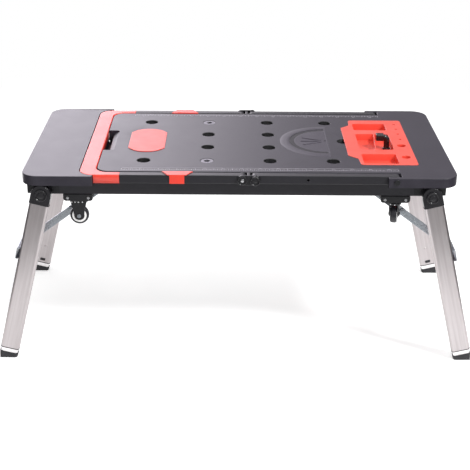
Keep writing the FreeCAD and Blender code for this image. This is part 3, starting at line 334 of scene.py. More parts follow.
def turned(bm: bmesh.types.BMesh, profile_mm: tuple[tuple[float, float], ...], centre: Vector,
           axis: Vector, steps: int = 48) -> None:
    """Turn a profile once round an axis, as on a lathe.

    Args:
        bm: the mesh it joins.
        profile_mm: pairs of a radius and a place along the axis, in millimetres.
        centre: the point on the axis where the places along it start, in metres.
        axis: the axis's direction.
        steps: the number of facets round the turn.
    """
    side = Vector((0, 0, 1)) if abs(axis.z) < 0.5 else Vector((0, -1, 0))
    points = [centre + side * (radius * MM) + axis * (along * MM)
              for radius, along in profile_mm]
    verts = [bm.verts.new(point) for point in points]
    edges = [bm.edges.new(pair) for pair in zip(verts, verts[1:])]
    bmesh.ops.spin(bm, geom=verts + edges, cent=centre, axis=axis, angle=math.tau, steps=steps,
                   use_merge=True, dvec=(0, 0, 0))


def closed(bm: bmesh.types.BMesh) -> bmesh.types.BMesh:
    """Merge the doubles of a shape and point its faces outwards.

    Args:
        bm: the mesh, which is changed.

    Returns:
        The same mesh.
    """
    bmesh.ops.remove_doubles(bm, verts=bm.verts, dist=MERGE_MM * MM)
    bmesh.ops.recalc_face_normals(bm, faces=bm.faces)
    return bm


class SubAssembly:
    """What every sub-assembly does: hand over a new piece, or a softened copy of a CAD node."""

    def hand_over(self, bm: bmesh.types.BMesh, name: str, finish: Finish, body: str,
                  slot: str = "", stands_for: tuple[str, ...] = ()) -> bpy.types.Object:
        """Turn a finished mesh into a piece of the bench.

        Args:
            bm: the mesh, which is used up.
            name: the piece's name.
            finish: its surface.
            body: the CAD body it moves with.
            slot: the record's material slot, if it has one; not used.
            stands_for: the CAD nodes that it replaces.

        Returns:
            The new object.
        """
        mesh = bpy.data.meshes.new(name)
        bm.to_mesh(mesh)
        bm.free()
        mesh.shade_smooth()
        mesh.set_sharp_from_angle(angle=math.radians(SHARP_DEG))
        mesh.materials.append(finish.material())
        piece = bpy.data.objects.new(name, mesh)
        bpy.context.scene.collection.objects.link(piece)
        even = piece.modifiers.new("even_normals", "WEIGHTED_NORMAL")
        even.keep_sharp = True
        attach(piece, body)
        if stands_for:
            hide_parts(*stands_for)
        LOG.info("%s: %s on %s, %d faces", name, finish.name, body, len(mesh.polygons))
        return piece

    def finish_node(self, node: str, finish: Finish, edge_mm: float,
                    segments: int = 2) -> bpy.types.Object:
        """Replace a CAD node by a copy with rounded edges.

        Args:
            node: the CAD node.
            finish: its surface.
            edge_mm: how far the rounding reaches from each edge.
            segments: the steps of the rounding.

        Returns:
            The piece that stands for the node.
        """
        bm = merged_copy(node)
        soften(bm, edge_mm, segments)
        return self.stand_in(bm, node, finish)

    def stand_in(self, bm: bmesh.types.BMesh, node: str, finish: Finish) -> bpy.types.Object:
        """Hand over a mesh in the place of one CAD node, on its body."""
        return self.hand_over(bm, node + "_finished", finish, NODE_BODY[node],
                              NODE_SLOT[node], (node,))


# Sub-assemblies

@dataclass
class Deck(SubAssembly):
    """The two moulded panels of the top, with their plate, bushes, rulers and protractor."""

    rim_mm: float = 2.4
    side_mm: float = 215.0
    outer_mm: float = 290.0
    end_mm: float = 535.0
    columns_mm: tuple[float, ...] = (-265.0, -90.0, 85.0, 260.0)
    rows_mm: tuple[float, ...] = (-169.0, -56.3, 56.3, 169.0)
    bore_mm: float = 19.9
    flat_share: float = 0.98
    ruler_rows_mm: tuple[float, float] = (-245.0, 243.0)
    ruler_start_mm: float = -320.0
    ruler_end_mm: float = 430.0
    tick_step_mm: float = 5.0
    tick_width_mm: float = 1.8
    tick_lengths_mm: tuple[float, float, float] = (5.0, 8.0, 11.0)
    ink_mm: float = 0.15
    ticks_per_long: int = 10
    ticks_per_middle: int = 2
    number_tick: int = 5
    digit_mm: float = 9.0
    digit_inset: float = 1.5
    border_mm: float = -228.0
    border_width_mm: float = 1.2
    protractor_mm: tuple[float, float] = (252.0, 0.0)
    ring_profile: tuple[tuple[float, float], ...] = (
        (107.0, -0.3), (107.0, 0.6), (109.0, 1.0), (116.0, 1.0), (125.0, 0.6), (134.0, 0.15),
        (134.6, -0.3))
    scale_profile: tuple[tuple[float, float], ...] = (
        (92.0, -0.3), (92.0, 0.15), (107.5, 0.15), (107.5, -0.3))
    plateau_profile: tuple[tuple[float, float], ...] = (
        (8.0, -0.3), (8.0, 0.5), (90.0, 0.5), (93.0, 0.3), (93.0, -0.3))
    spoke_angles_deg: tuple[float, ...] = (-24.0, 0.0, 24.0)
    spoke_reach_mm: tuple[float, float] = (16.0, 74.0)
    spoke_half_mm: float = 3.0
    spoke_height_mm: float = 1.6
    spoke_base_mm: float = 0.3
    spoke_soft_mm: float = 0.25
    edge_reach_mm: float = 133.0
    edge_span_mm: tuple[float, float] = (1.0, 5.0)
    edge_heights_mm: tuple[float, float] = (-0.3, 0.4)
    half_steps: int = 40
    scoop_half_mm: float = 86.5
    scoop_wall_mm: float = 0.4
    scoop_top_mm: float = -1.2
    scoop_profile: tuple[tuple[float, float], ...] = (
        (-352.0, -1.2), (-369.0, -8.5), (-370.8, -10.5), (-370.8, -40.0), (-386.3, -40.0),
        (-391.0, -24.6))
    recess_mm: tuple[float, float, float] = (305.0, 0.0, 24.0)
    recess_drop_mm: float = 0.5
    plate_edge_mm: float = 0.7
    bush_edge_mm: float = 0.8
    screw_edge_mm: float = 0.25

    def build(self) -> None:
        """Build and dress every piece of the deck."""
        self.panels()
        self.finish_node("deck_plate", PLATE_RED, self.plate_edge_mm)
        self.finish_node("clamp_inserts", BUSH_GREY, self.bush_edge_mm)
        self.finish_node("panel_screws", ZINC, self.screw_edge_mm)
        self.rulers()
        self.protractor()
        self.scoop()

    def panels(self) -> None:
        """Round the rims of both panels wide, and paint shade into their dog holes and the lift recess."""
        for node, side in (("deck_panel", self.side_mm), ("left_end_panel", self.outer_mm)):
            bm = merged_copy(node)
            soften(bm, self.rim_mm, 3, lambda edge, side=side: self.on_rim(edge, side))
            self.paint_bore_shade(self.stand_in(bm, node, DECK_BLACK))

    def paint_bore_shade(self, panel: bpy.types.Object) -> None:
        """Paint shade onto the dog holes' walls and lips and the tray's lift recess, as a near-black finish.

        Args:
            panel: the finished panel, whose faces are told apart by where they lie.
        """
        panel.data.materials.append(PAINTED_SHADE_BLACK.material())
        x, y, reach = self.recess_mm
        for face in panel.data.polygons:
            place = (face.center - DECK) * PER_METRE
            near = min(math.hypot(place.x - column, place.y - row)
                       for column in self.columns_mm for row in self.rows_mm)
            bored = near < self.bore_mm and abs(face.normal.z) < self.flat_share
            sunk = (math.hypot(place.x - x, place.y - y) < reach
                    and place.z < -self.recess_drop_mm)
            # Painted shade: faces inside the dog holes and the lift recess take the near-black finish.
            if bored or sunk:
                face.material_index = 1

    def on_rim(self, edge: bmesh.types.BMEdge, side: float) -> bool:
        """Tell whether an edge lies on the top outline of a panel.

        Args:
            edge: the edge.
            side: how far from the bench's middle line the outline's long sides lie, at least.

        Returns:
            True where both ends of the edge lie on the outline.
        """
        places = [(vert.co - DECK) * PER_METRE for vert in edge.verts]
        return all(place.z > -TOUCH_MM and (abs(place.y) > side or abs(place.x) > self.end_mm)
                   for place in places)

    def rulers(self) -> None:
        """Print a scale with ticks and generic numbers along both long sides."""
        bm = bmesh.new()
        count = round((self.ruler_end_mm - self.ruler_start_mm) / self.tick_step_mm)
        for row in self.ruler_rows_mm:
            inward = -1 if row > 0 else 1
            for i in range(count + 1):
                x = self.ruler_start_mm + i * self.tick_step_mm
                rank = sum(i % every == 0 for every in (self.ticks_per_long, self.ticks_per_middle))
                self.tick(bm, x, row, inward * self.tick_lengths_mm[rank])
                if i % self.ticks_per_long == self.number_tick:
                    self.number(bm, str(i // self.ticks_per_middle), x,
                                row + inward * self.digit_inset * self.digit_mm)
        width = self.border_width_mm
        block(bm, on_deck(self.ruler_start_mm, self.border_mm - width),
              on_deck(self.ruler_end_mm, self.border_mm, self.ink_mm))
        self.hand_over(closed(bm), "deck_rulers", INK, "root")

    def tick(self, bm: bmesh.types.BMesh, x: float, y: float, length: float) -> None:
        """Add one printed tick that runs in from the deck's side.

        Args:
            bm: the mesh it joins.
            x: its place along the deck.
            y: the row it starts from.
            length: how far it runs, negative towards the front.
        """
        half = self.tick_width_mm / 2
        near, far = sorted((y, y + length))
        block(bm, on_deck(x - half, near), on_deck(x + half, far, self.ink_mm))

    def number(self, bm: bmesh.types.BMesh, text: str, x: float, y: float) -> None:
        """Add one printed number, centred on a place on the deck.

        Args:
            bm: the mesh it joins.
            text: the number.
            x: its place along the deck.
            y: its place across the deck.
        """
        curve = bpy.data.curves.new("ruler_number", "FONT")
        curve.body = text
        curve.size = self.digit_mm * MM
        curve.align_x = "CENTER"
        curve.align_y = "CENTER"
        curve.resolution_u = 2
        curve.extrude = self.ink_mm / 2 * MM
        holder = bpy.data.objects.new("ruler_number", curve)
        mesh = bpy.data.meshes.new_from_object(holder)
        mesh.transform(Matrix.Translation(on_deck(x, y, self.ink_mm / 2)))
        bm.from_mesh(mesh)
        bpy.data.objects.remove(holder)
        bpy.data.curves.remove(curve)
        bpy.data.meshes.remove(mesh)

    def protractor(self) -> None:
        """Lay the protractor on the deck: a soft ring, a matt scale, a plateau and spokes."""
        # Ring and plateau take a lighter copy of the deck's plastic as painted highlight; the scale band a darker
        # one as painted shade.
        ring = bmesh.new()
        self.half_turn(ring, self.ring_profile)
        self.hand_over(closed(ring), "protractor_ring", PAINTED_HIGHLIGHT_GREY, "root", "moulded_black")
        scale = bmesh.new()
        self.half_turn(scale, self.scale_profile)
        self.hand_over(closed(scale), "protractor_scale", MATT_PAINTED_SHADE_BLACK, "root", "moulded_black")
        plateau = bmesh.new()
        near, far = self.spoke_reach_mm
        half = self.spoke_half_mm
        for angle in self.spoke_angles_deg:
            verts = block(plateau, Vector((-far, -half, self.spoke_base_mm)) * MM,
                          Vector((-near, half, self.spoke_height_mm)) * MM)
            place = (Matrix.Translation(on_deck(*self.protractor_mm))
                     @ Matrix.Rotation(math.radians(angle), 4, "Z"))
            bmesh.ops.transform(plateau, matrix=place, verts=verts)
        x, y = self.protractor_mm
        start, end = self.edge_span_mm
        low, high = self.edge_heights_mm
        block(plateau, on_deck(x + start, y - self.edge_reach_mm, low),
              on_deck(x + end, y + self.edge_reach_mm, high))
        soften(plateau, self.spoke_soft_mm)
        self.half_turn(plateau, self.plateau_profile)
        self.hand_over(closed(plateau), "protractor_plateau", PAINTED_HIGHLIGHT_GREY, "root", "moulded_black")

    def half_turn(self, bm: bmesh.types.BMesh, profile: tuple[tuple[float, float], ...]) -> None:
        """Sweep a closed section round the half that is open to the tray.

        Args:
            bm: the mesh it joins.
            profile: the section's radii and heights over the deck, in millimetres.
        """
        centre = on_deck(*self.protractor_mm)
        verts = [bm.verts.new(centre + Vector((0, -radius, height)) * MM)
                 for radius, height in profile]
        face = bm.faces.new(verts)
        bmesh.ops.spin(bm, geom=[face, *face.verts, *face.edges], cent=centre,
                       axis=(0, 0, -1), angle=math.pi, steps=self.half_steps, use_merge=False)

    def scoop(self) -> None:
        """Fold the thin pocket by the grip: a ramp, a well that closes under it, and two ends.

        The profile's last point is the top of the far wall, under the grip. The two ends leave it
        out and stand straight up instead.
        """
        bm = bmesh.new()
        half = self.scoop_half_mm
        verts = [bm.verts.new(on_deck(x, -half, up)) for x, up in self.scoop_profile]
        edges = [bm.edges.new(pair) for pair in zip(verts, verts[1:])]
        swept = bmesh.ops.extrude_edge_only(bm, edges=edges)["geom"]
        far = [item for item in swept if isinstance(item, bmesh.types.BMVert)]
        bmesh.ops.translate(bm, verts=far, vec=Vector((0, 2 * half * MM, 0)))
        for row, y in ((verts, -half), (far, half)):
            by_place = [min(row, key=lambda vert, at=at: (vert.co - at).length)
                        for at in (on_deck(x, y, up) for x, up in self.scoop_profile[:-1])]
            corner = bm.verts.new(on_deck(self.scoop_profile[-2][0], y, self.scoop_top_mm))
            bm.faces.new([*by_place, corner])
        bmesh.ops.recalc_face_normals(bm, faces=bm.faces)
        bmesh.ops.solidify(bm, geom=bm.faces[:], thickness=self.scoop_wall_mm * MM)
        self.hand_over(closed(bm), "finger_scoop", DECK_BLACK, "root", "moulded_black")


@dataclass
class ToolTray(SubAssembly):
    """The red tray that lifts out, and the hooked dog that it carries."""

    edge_mm: float = 0.9
    dog_edge_mm: float = 1.4

    def build(self) -> None:
        """Build and dress the tray and the dog."""
        self.finish_node("tool_tray", TRAY_RED, self.edge_mm, 3)
        self.finish_node("bench_dog", DOG_BLACK, self.dog_edge_mm, 3)


@dataclass
class FoldingHandle(SubAssembly):
    """The grip, its tubes and arms, the double hinges and the clips."""

    bar_edge_mm: float = 2.0
    clip_edge_mm: float = 0.9
    link_edge_mm: float = 1.2
    bolt_edge_mm: float = 0.8
    head_steps: int = 32
    face_mm: float = 292.0
    rivet_profile: tuple[tuple[float, float], ...] = (
        (0.0, -33.8), (4.0, -33.8), (4.0, 0.2), (4.8, 0.2), (4.8, 1.4), (4.2, 2.5), (3.0, 3.3),
        (1.5, 3.7), (0.0, 3.8))
    eye_profile: tuple[tuple[float, float], ...] = (
        (9.6, -0.2), (12.8, -0.2), (12.8, 0.9), (12.3, 1.6), (11.6, 1.9), (10.8, 1.7),
        (10.0, 0.9), (9.6, -0.2))
    knob_profile: tuple[tuple[float, float], ...] = (
        (0.0, -33.8), (4.0, -33.8), (4.0, 0.0), (13.4, 0.0), (13.4, 4.6), (12.9, 5.9), (12.0, 6.6),
        (10.9, 6.2), (10.2, 4.4), (9.4, 3.9), (5.0, 3.9), (4.0, 5.0), (2.4, 5.6), (0.0, 5.7))

    def build(self) -> None:
        """Build and dress every piece of the handle."""
        for end in ENDS:
            self.finish_node(f"handle_arm_{end}", TUBE_BLACK, self.bar_edge_mm, 3)
            self.finish_node(f"handle_tube_{end}", TUBE_BLACK, self.bar_edge_mm, 3)
            self.finish_node(f"hinge_link_{end}", HUB_BLACK, self.link_edge_mm)
            self.finish_node(f"latch_clip_{end}", GRIP_RED, self.clip_edge_mm)
        self.stand_in(merged_copy("handle_grip", join_flat=False), "handle_grip", GRIP_RED)
        self.finish_node("handle_pivot_bolts", FRAME_BLACK, self.bolt_edge_mm)
        self.hinge_heads("hinge_rivets", "handle_loop_turn", self.rivet_profile, RIVET_BRIGHT)
        self.hinge_heads("hinge_eyes", "handle_loop_turn", self.eye_profile, HUB_BLACK)
        self.hinge_heads("hinge_knobs", "hinge_link_turn", self.knob_profile, HUB_BLACK)

    def hinge_heads(self, name: str, pivot: str, profile: tuple[tuple[float, float], ...],
                    finish: Finish) -> None:
        """Turn one pin, rim or knob for the front and one for the rear.

        Args:
            name: the piece's name.
            pivot: the joint on whose axis it stands.
            profile: its radii and places out from the link's face.
            finish: its surface.
        """
        bm = bmesh.new()
        for sign in ENDS.values():
            centre = PIVOTS[pivot] + Vector((0, sign * self.face_mm * MM, 0))
            turned(bm, profile, centre, Vector((0, sign, 0)), self.head_steps)
        self.hand_over(closed(bm), name, finish, "hinge_links", "zinc_steel", ("hinge_pins",))


@dataclass
class LowerFrame(SubAssembly):
    """The rails, the leg mounts and the brace anchors under the deck, with the pivot knobs."""

    rail_edge_mm: float = 1.2
    pressing_edge_mm: float = 0.8
    knob_base_mm: float = 300.3
    knob_profile: tuple[tuple[float, float], ...] = (
        (0.0, -36.3), (6.0, -36.3), (6.0, 0.0), (17.0, 0.0), (17.0, 3.0), (16.4, 4.4),
        (15.3, 5.0), (14.2, 4.6), (13.2, 2.8), (12.4, 2.2), (9.4, 2.2), (8.8, 3.6),
        (7.8, 4.4), (0.0, 4.6))

    def build(self) -> None:
        """Build and dress every piece of the lower frame."""
        for end in ENDS:
            self.finish_node(f"lower_rail_{end}", TUBE_BLACK, self.rail_edge_mm)
        for side in SIDES:
            self.finish_node(f"leg_mount_{side}", FRAME_BLACK, self.pressing_edge_mm)
            self.finish_node(f"brace_anchor_{side}", FRAME_BLACK, self.pressing_edge_mm)
        self.knobs()

    def knobs(self) -> None:
        """Turn the four pivot knobs, each with a raised rim that catches the light."""
        bm = bmesh.new()
        for side in SIDES:
            for sign in ENDS.values():
                centre = PIVOTS[f"{side}_leg_fold"] + Vector((0, sign * self.knob_base_mm * MM, 0))
                turned(bm, self.knob_profile, centre, Vector((0, sign, 0)))
        self.stand_in(closed(bm), "leg_pivot_knobs", HUB_BLACK)


@dataclass
class LegSet(SubAssembly):
    """Both legs at one end of the bench, with their hubs, feet, buttons, crossbar and braces."""

    side: str
    splay_deg: float = 14.2
    tube_edge_mm: float = 0.5
    hub_edge_mm: float = 1.6
    foot_edge_mm: float = 1.2
    foot_least_mm: float = 3.0
    plate_edge_mm: float = 0.6
    collar_mm: float = 2.6
    collar_proud: float = 1.012
    collar_drop_mm: float = 0.2
    button_edge_mm: float = 0.3
    metal: Finish = field(init=False)
    bright: Finish = field(init=False)

    def __post_init__(self) -> None:
        """Turn the aluminium's lay along these legs."""
        tilt = SIDES[self.side] * self.splay_deg
        self.metal = anodised(tilt, "brushed_aluminium", "#c2bcbd", "#b5aeaf")
        self.bright = anodised(tilt, "bright_aluminium", "#f6f3f4", "#eae6e7")

    def build(self) -> None:
        """Build and dress every piece of this leg set."""
        side = self.side
        for end in ENDS:
            self.finish_node(f"{side}_leg_tube_{end}", self.metal, self.tube_edge_mm)
            self.finish_node(f"{side}_inner_leg_{end}", self.bright, self.tube_edge_mm)
            self.end_collar(end)
            self.foot(f"{side}_foot_{end}")
            self.finish_node(f"{side}_leg_button_{end}", RUBBER, self.button_edge_mm)
        self.finish_node(f"{side}_hub_caps", HUB_BLACK, self.hub_edge_mm, 3)
        self.finish_node(f"{side}_crossbar", ZINC, self.plate_edge_mm)
        for link in ("upper", "lower"):
            self.finish_node(f"{side}_brace_{link}", ZINC, self.plate_edge_mm)

    def foot(self, node: str) -> None:
        """Round a foot's long edges; the short facets of its corners are round already.

        Args:
            node: the CAD foot.
        """
        bm = merged_copy(node)
        soften(bm, self.foot_edge_mm, 3,
               lambda edge: edge.calc_length() > self.foot_least_mm * MM)
        self.stand_in(bm, node, RUBBER)

    def end_collar(self, end: str) -> None:
        """Cut the thin dark collar for a tube's lower end from the tube's own section.

        Args:
            end: which of the two legs it belongs to, front or rear.
        """
        tube = f"{self.side}_leg_tube_{end}"
        bm = merged_copy(tube)
        lean = math.radians(SIDES[self.side] * self.splay_deg)
        down = Vector((math.sin(lean), 0.0, -math.cos(lean)))
        tip = max((vert.co for vert in bm.verts), key=lambda co: co.dot(down)).copy()
        bmesh.ops.bisect_plane(bm, geom=[*bm.verts, *bm.edges, *bm.faces],
                               plane_co=tip - down * (self.collar_mm * MM), plane_no=down,
                               clear_inner=True)
        rims = [edge for edge in bm.edges if edge.is_boundary]
        bmesh.ops.bridge_loops(bm, edges=rims)
        low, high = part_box(tube)
        middle = Vector((0.0, (low.y + high.y) / 2, 0.0))
        pivot = PIVOTS[f"{self.side}_leg_fold"]
        axis_point = pivot + down * (tip - pivot).dot(down) + middle
        for vert in bm.verts:
            along = down * (vert.co - axis_point).dot(down)
            across = vert.co - axis_point - along
            vert.co = axis_point + along + across * self.collar_proud
        bmesh.ops.translate(bm, verts=bm.verts, vec=down * (self.collar_drop_mm * MM))
        self.hand_over(closed(bm), f"{tube}_collar", COLLAR_GREY, f"{self.side}_legs",
                       "black_rubber")


@dataclass
class Casters(SubAssembly):
    """The rigid casters at the left and the swivel casters at the right."""

    pressing_edge_mm: float = 0.6
    bolt_edge_mm: float = 0.8
    tyre_profile: tuple[tuple[float, float], ...] = (
        (19.5, -8.6), (22.0, -9.0), (23.9, -8.3), (25.3, -6.4), (25.9, -3.8), (26.0, 0.0),
        (25.9, 3.8), (25.3, 6.4), (23.9, 8.3), (22.0, 9.0), (19.5, 8.6), (19.5, -8.6))
    disc_profile: tuple[tuple[float, float], ...] = (
        (14.2, -9.4), (18.6, -9.6), (19.6, -8.8), (19.6, 8.8), (18.6, 9.6), (14.2, 9.4),
        (14.2, -9.4))
    hub_profile: tuple[tuple[float, float], ...] = (
        (4.05, -9.0), (7.5, -9.0), (8.4, -8.2), (9.2, -7.4), (14.2, -7.2), (14.2, 7.2),
        (9.2, 7.4), (8.4, 8.2), (7.5, 9.0), (4.05, 9.0), (4.05, -9.0))
    wheel_steps: int = 40
    axle_edge_mm: float = 0.4
    dimple_profile: tuple[tuple[float, float], ...] = (
        (0.0, -1.0), (2.0, -1.0), (2.0, 0.2), (1.2, 0.8), (0.0, 1.0))
    dimple_steps: int = 16
    dimple_proud_mm: float = 0.1
    flange_dimples_mm: tuple[float, ...] = (-18.0, -9.0, 0.0, 11.0)
    flange_drop_mm: float = 23.0
    crown_dimples_mm: tuple[float, ...] = (-12.0, -1.0)
    crown_radius_mm: float = 19.5
    crown_drop_mm: float = 2.8
    bolt_reach_mm: float = 271.6

    def build(self) -> None:
        """Build and dress every piece of the casters."""
        self.flange_rivets()
        for end in ENDS:
            self.crown_rivets(end)
        for node in ("caster_mounts", "rigid_forks", "swivel_heads"):
            self.finish_node(node, FRAME_BLACK, self.pressing_edge_mm)
        self.bolts()
        self.finish_node("rigid_axles", ZINC, self.axle_edge_mm)
        for end in ENDS:
            self.finish_node(f"swivel_fork_{end}", FRAME_BLACK, self.pressing_edge_mm)
            self.wheel(f"rigid_wheel_{end}")
            self.wheel(f"swivel_wheel_{end}")

    def bolts(self) -> None:
        """Round the bolts and keep their heads just clear of a folded leg."""
        bm = merged_copy("caster_bolts")
        soften(bm, self.bolt_edge_mm)
        reach = self.bolt_reach_mm * MM
        for vert in bm.verts:
            vert.co.y = max(-reach, min(reach, vert.co.y))
        self.stand_in(bm, "caster_bolts", RIVET_BRIGHT)

    def dimple(self, bm: bmesh.types.BMesh, centre: Vector, axis: Vector) -> None:
        """Add one small domed rivet head that stands on a face."""
        turned(bm, self.dimple_profile, centre, axis, self.dimple_steps)

    def flange_rivets(self) -> None:
        """Set the small bright rivets in the flanges of the rigid forks, front and rear."""
        bm = bmesh.new()
        low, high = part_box("rigid_forks")
        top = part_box("caster_mounts")[1].z
        for sign in ENDS.values():
            for place in self.flange_dimples_mm:
                centre = Vector(((low.x + high.x) / 2 + place * MM,
                                 sign * (high.y + self.dimple_proud_mm * MM),
                                 top - self.flange_drop_mm * MM))
                self.dimple(bm, centre, Vector((0, sign, 0)))
        self.hand_over(closed(bm), "rigid_fork_rivets", RIVET_BRIGHT, "root", "zinc_steel")

    def crown_rivets(self, end: str) -> None:
        """Set the small bright rivets round a swivel fork's crown, which turn with the fork.

        Args:
            end: which of the two swivel casters it is, front or rear.
        """
        bm = bmesh.new()
        fork = f"swivel_fork_{end}"
        pivot = PIVOTS[f"swivel_{end}_turn"]
        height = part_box(fork)[1].z - self.crown_drop_mm * MM
        for place in self.crown_dimples_mm:
            angle = math.asin(place / self.crown_radius_mm)
            outward = Vector((math.sin(angle), ENDS[end] * math.cos(angle), 0.0))
            centre = Vector((pivot.x, pivot.y, height)) + outward * (self.crown_radius_mm * MM)
            self.dimple(bm, centre, outward)
        self.hand_over(closed(bm), f"{fork}_rivets", RIVET_BRIGHT, NODE_BODY[fork], "zinc_steel")

    def wheel(self, node: str) -> None:
        """Turn one wheel's tyre, disc and hub where the CAD wheel stands.

        Args:
            node: the CAD wheel, which is also the name of its body.
        """
        low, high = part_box(node)
        axis = SPINS[node]
        centre = (low + high) / 2
        for part, profile, finish, slot in (
                ("tyre", self.tyre_profile, TYRE_BLACK, "caster_black"),
                ("disc", self.disc_profile, NYLON_WHITE, ""),
                ("hub", self.hub_profile, HUB_BLACK, "hub_black")):
            bm = bmesh.new()
            turned(bm, profile, centre, axis, self.wheel_steps)
            self.hand_over(closed(bm), f"{node}_{part}", finish, NODE_BODY[node], slot, (node,))


# Studio

@dataclass(frozen=True)
class Lamp:
    """One soft area lamp, pointed at a place on the bench."""

    name: str
    place: tuple[float, float, float]
    target: tuple[float, float, float]
    size: tuple[float, float]
    power: float
    mirrored: bool = True

    def hang(self) -> None:
        """Put the lamp in the scene, out of the camera's sight."""
        light = bpy.data.lights.new(self.name, "AREA")
        light.shape = "RECTANGLE"
        light.size, light.size_y = self.size
        light.energy = self.power
        lamp = bpy.data.objects.new(self.name, light)
        lamp.location = self.place
        aim = Vector(self.target) - Vector(self.place)
        lamp.rotation_mode = "QUATERNION"
        lamp.rotation_quaternion = aim.to_track_quat("-Z", "Y")
        lamp.visible_camera = False
        lamp.visible_glossy = self.mirrored
        bpy.context.scene.collection.objects.link(lamp)


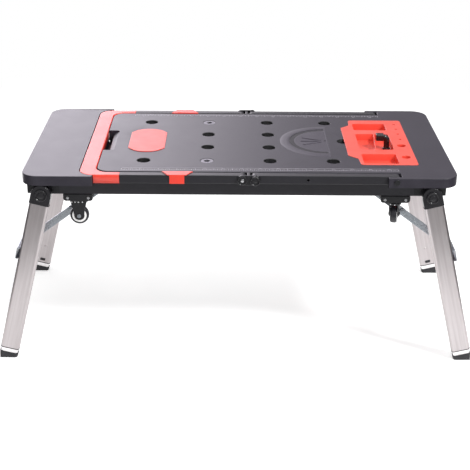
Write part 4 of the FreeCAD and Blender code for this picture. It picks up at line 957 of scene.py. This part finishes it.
@dataclass
class Studio:
    """A white floor, plain soft lamps, a pale surround and the photograph's camera."""

    backdrop: str = "#f6f0fa"
    backdrop_edge: tuple[float, float] = (-0.16, 0.08)
    backdrop_glow: tuple[float, float] = (4.0, 0.45)
    floor_low: tuple[float, float] = (-1.2, -0.95)
    floor_high: tuple[float, float] = (1.2, 2.6)
    side_glow: float = 0.12
    floor_glow: float = 0.55
    ambient: float = 0.42
    back_glow: float = 1.0
    front_glow: float = 0.42
    front_band: tuple[float, float] = (-0.1, 0.45)
    behind_band: tuple[float, float] = (0.55, 0.85)
    aside_band: tuple[float, float] = (0.6, 0.85)
    above_band: tuple[float, float] = (0.45, 0.95)
    floor_colour: str = "#f2f2f2"
    floor_drop_mm: float = 0.5
    floor_cells: int = 8
    sensor_mm: float = 36.0
    focal_px: float = 1082.6
    picture_px: float = 470.0
    camera_place: tuple[float, float, float] = (-0.0158, -2.986, 1.581)
    camera_pan_deg: float = -0.25
    camera_down_deg: float = 23.94
    camera_roll_deg: float = 0.46
    lamps: tuple[Lamp, ...] = (
        Lamp("key_lamp", (2.2, -1.6, 3.0), (0.0, 0.0, 0.5), (0.5, 0.5), 95.0),
        Lamp("top_lamp", (0.0, 0.6, 2.8), (0.0, 0.0, 0.5), (2.4, 1.6), 18.0),
        Lamp("front_lamp", (-0.6, -3.6, 1.3), (0.0, 0.0, 0.5), (2.4, 1.4), 45.0, False),
    )

    def build(self) -> None:
        """Set up the whole studio."""
        bpy.context.scene.view_settings.view_transform = "Standard"
        self.floor()
        self.surround()
        for lamp in self.lamps:
            lamp.hang()
        self.camera()

    def floor(self) -> None:
        """Lay a white floor that glows a little to the camera and keeps the shadow."""
        bm = bmesh.new()
        low, high = Vector((*self.floor_low, 0.0)), Vector((*self.floor_high, 0.0))
        matrix = Matrix.Translation((low + high) / 2) @ Matrix.Diagonal(
            (high.x - low.x, high.y - low.y, 1.0, 1.0))
        bmesh.ops.create_grid(bm, x_segments=self.floor_cells, y_segments=self.floor_cells,
                              size=0.5, matrix=matrix)
        mesh = bpy.data.meshes.new("studio_floor")
        bm.to_mesh(mesh)
        bm.free()
        floor = bpy.data.objects.new("studio_floor", mesh)
        floor.location = (0.0, 0.0, -self.floor_drop_mm * MM)
        bpy.context.scene.collection.objects.link(floor)
        mesh.materials.append(self.floor_paint())

    def floor_paint(self) -> bpy.types.Material:
        """White paint, with a glow seen by the camera and in reflections only.

        Returns:
            The floor's material.
        """
        material = bpy.data.materials.new("studio_floor_white")
        material.use_nodes = True
        tree = material.node_tree
        tree.nodes.clear()
        path = add(tree, "ShaderNodeLightPath")
        seen = add(tree, "ShaderNodeMath", {0: (path, "Is Camera Ray"), 1: (path, "Is Glossy Ray")},
                   operation="MAXIMUM")
        glow = add(tree, "ShaderNodeMath", {0: (seen, "Value"), 1: self.floor_glow},
                   operation="MULTIPLY")
        paint = add(tree, "ShaderNodeBsdfDiffuse", {"Color": linear(self.floor_colour)})
        shine = add(tree, "ShaderNodeEmission", {"Strength": (glow, "Value")})
        both = add(tree, "ShaderNodeAddShader", {0: (paint, "BSDF"), 1: (shine, "Emission")})
        add(tree, "ShaderNodeOutputMaterial", {"Surface": (both, "Shader")})
        return material

    def surround(self) -> None:
        """A white world to the camera, and a bright back and grey front in reflections."""
        world = bpy.data.worlds.new("studio_surround")
        bpy.context.scene.world = world
        world.use_nodes = True
        tree = world.node_tree
        tree.nodes.clear()
        path = add(tree, "ShaderNodeLightPath")
        direction = add(tree, "ShaderNodeTexCoord")
        parts = add(tree, "ShaderNodeSeparateXYZ", {"Vector": (direction, "Generated")})
        back = add(tree, "ShaderNodeMapRange", {
            "Value": (parts, "Y"), "From Min": self.front_band[0],
            "From Max": self.front_band[1], "To Min": self.front_glow,
            "To Max": self.back_glow})
        fall = add(tree, "ShaderNodeMapRange", {
            "Value": (parts, "X"), "From Min": self.backdrop_edge[0],
            "From Max": self.backdrop_edge[1], "To Min": self.backdrop_glow[0],
            "To Max": self.backdrop_glow[1]}, interpolation_type="SMOOTHSTEP")
        behind = add(tree, "ShaderNodeMapRange", {
            "Value": (parts, "Y"), "From Min": self.behind_band[0],
            "From Max": self.behind_band[1]})
        aside = add(tree, "ShaderNodeMath", {0: (parts, "X")}, operation="ABSOLUTE")
        sideways = add(tree, "ShaderNodeMapRange", {
            "Value": (aside, "Value"), "From Min": self.aside_band[0],
            "From Max": self.aside_band[1]})
        flagged = add(tree, "ShaderNodeMix", {
            0: (sideways, "Result"), 2: (back, "Result"), 3: self.side_glow})
        backed = add(tree, "ShaderNodeMix", {
            0: (behind, "Result"), 2: (flagged, 0), 3: (fall, "Result")})
        above = add(tree, "ShaderNodeMapRange", {
            "Value": (parts, "Z"), "From Min": self.above_band[0],
            "From Max": self.above_band[1], "To Min": 0.0, "To Max": self.back_glow})
        mirrored = add(tree, "ShaderNodeMath", {0: (backed, 0), 1: (above, "Result")},
                       operation="MAXIMUM")
        soft = add(tree, "ShaderNodeMix", {
            0: (path, "Is Glossy Ray"), 2: self.ambient, 3: (mirrored, "Value")})
        level = add(tree, "ShaderNodeMix", {0: (path, "Is Camera Ray"), 2: (soft, 0), 3: 1.0})
        tinted = add(tree, "ShaderNodeMath", {0: (path, "Is Glossy Ray"), 1: (behind, "Result")},
                     operation="MULTIPLY")
        colour = add(tree, "ShaderNodeMix", {
            0: (tinted, "Value"), 6: linear("#ffffff"), 7: linear(self.backdrop)},
            data_type="RGBA")
        light = add(tree, "ShaderNodeBackground", {
            "Color": (colour, 2), "Strength": (level, 0)})
        add(tree, "ShaderNodeOutputWorld", {"Surface": (light, "Background")})

    def camera(self) -> None:
        """Stand the camera where the photograph was taken from."""
        data = bpy.data.cameras.new("photo_camera")
        data.sensor_width = self.sensor_mm
        data.sensor_fit = "HORIZONTAL"
        data.lens = self.focal_px * self.sensor_mm / self.picture_px
        camera = bpy.data.objects.new("photo_camera", data)
        camera.matrix_world = (
            Matrix.Translation(self.camera_place)
            @ Matrix.Rotation(math.radians(self.camera_pan_deg), 4, "Z")
            @ Matrix.Rotation(math.radians(90.0 - self.camera_down_deg), 4, "X")
            @ Matrix.Rotation(math.radians(self.camera_roll_deg), 4, "Z"))
        bpy.context.scene.collection.objects.link(camera)
        bpy.context.scene.camera = camera


def main() -> None:
    """Build the bench and its studio, one sub-assembly after another."""
    logging.basicConfig(level=logging.INFO, format="%(message)s")
    for assembly in (Deck(), ToolTray(), FoldingHandle(), LowerFrame(), LegSet("left"),
                     LegSet("right"), Casters()):
        LOG.info("building %s", type(assembly).__name__)
        assembly.build()
    Studio().build()


if __name__ == "__main__":
    main()
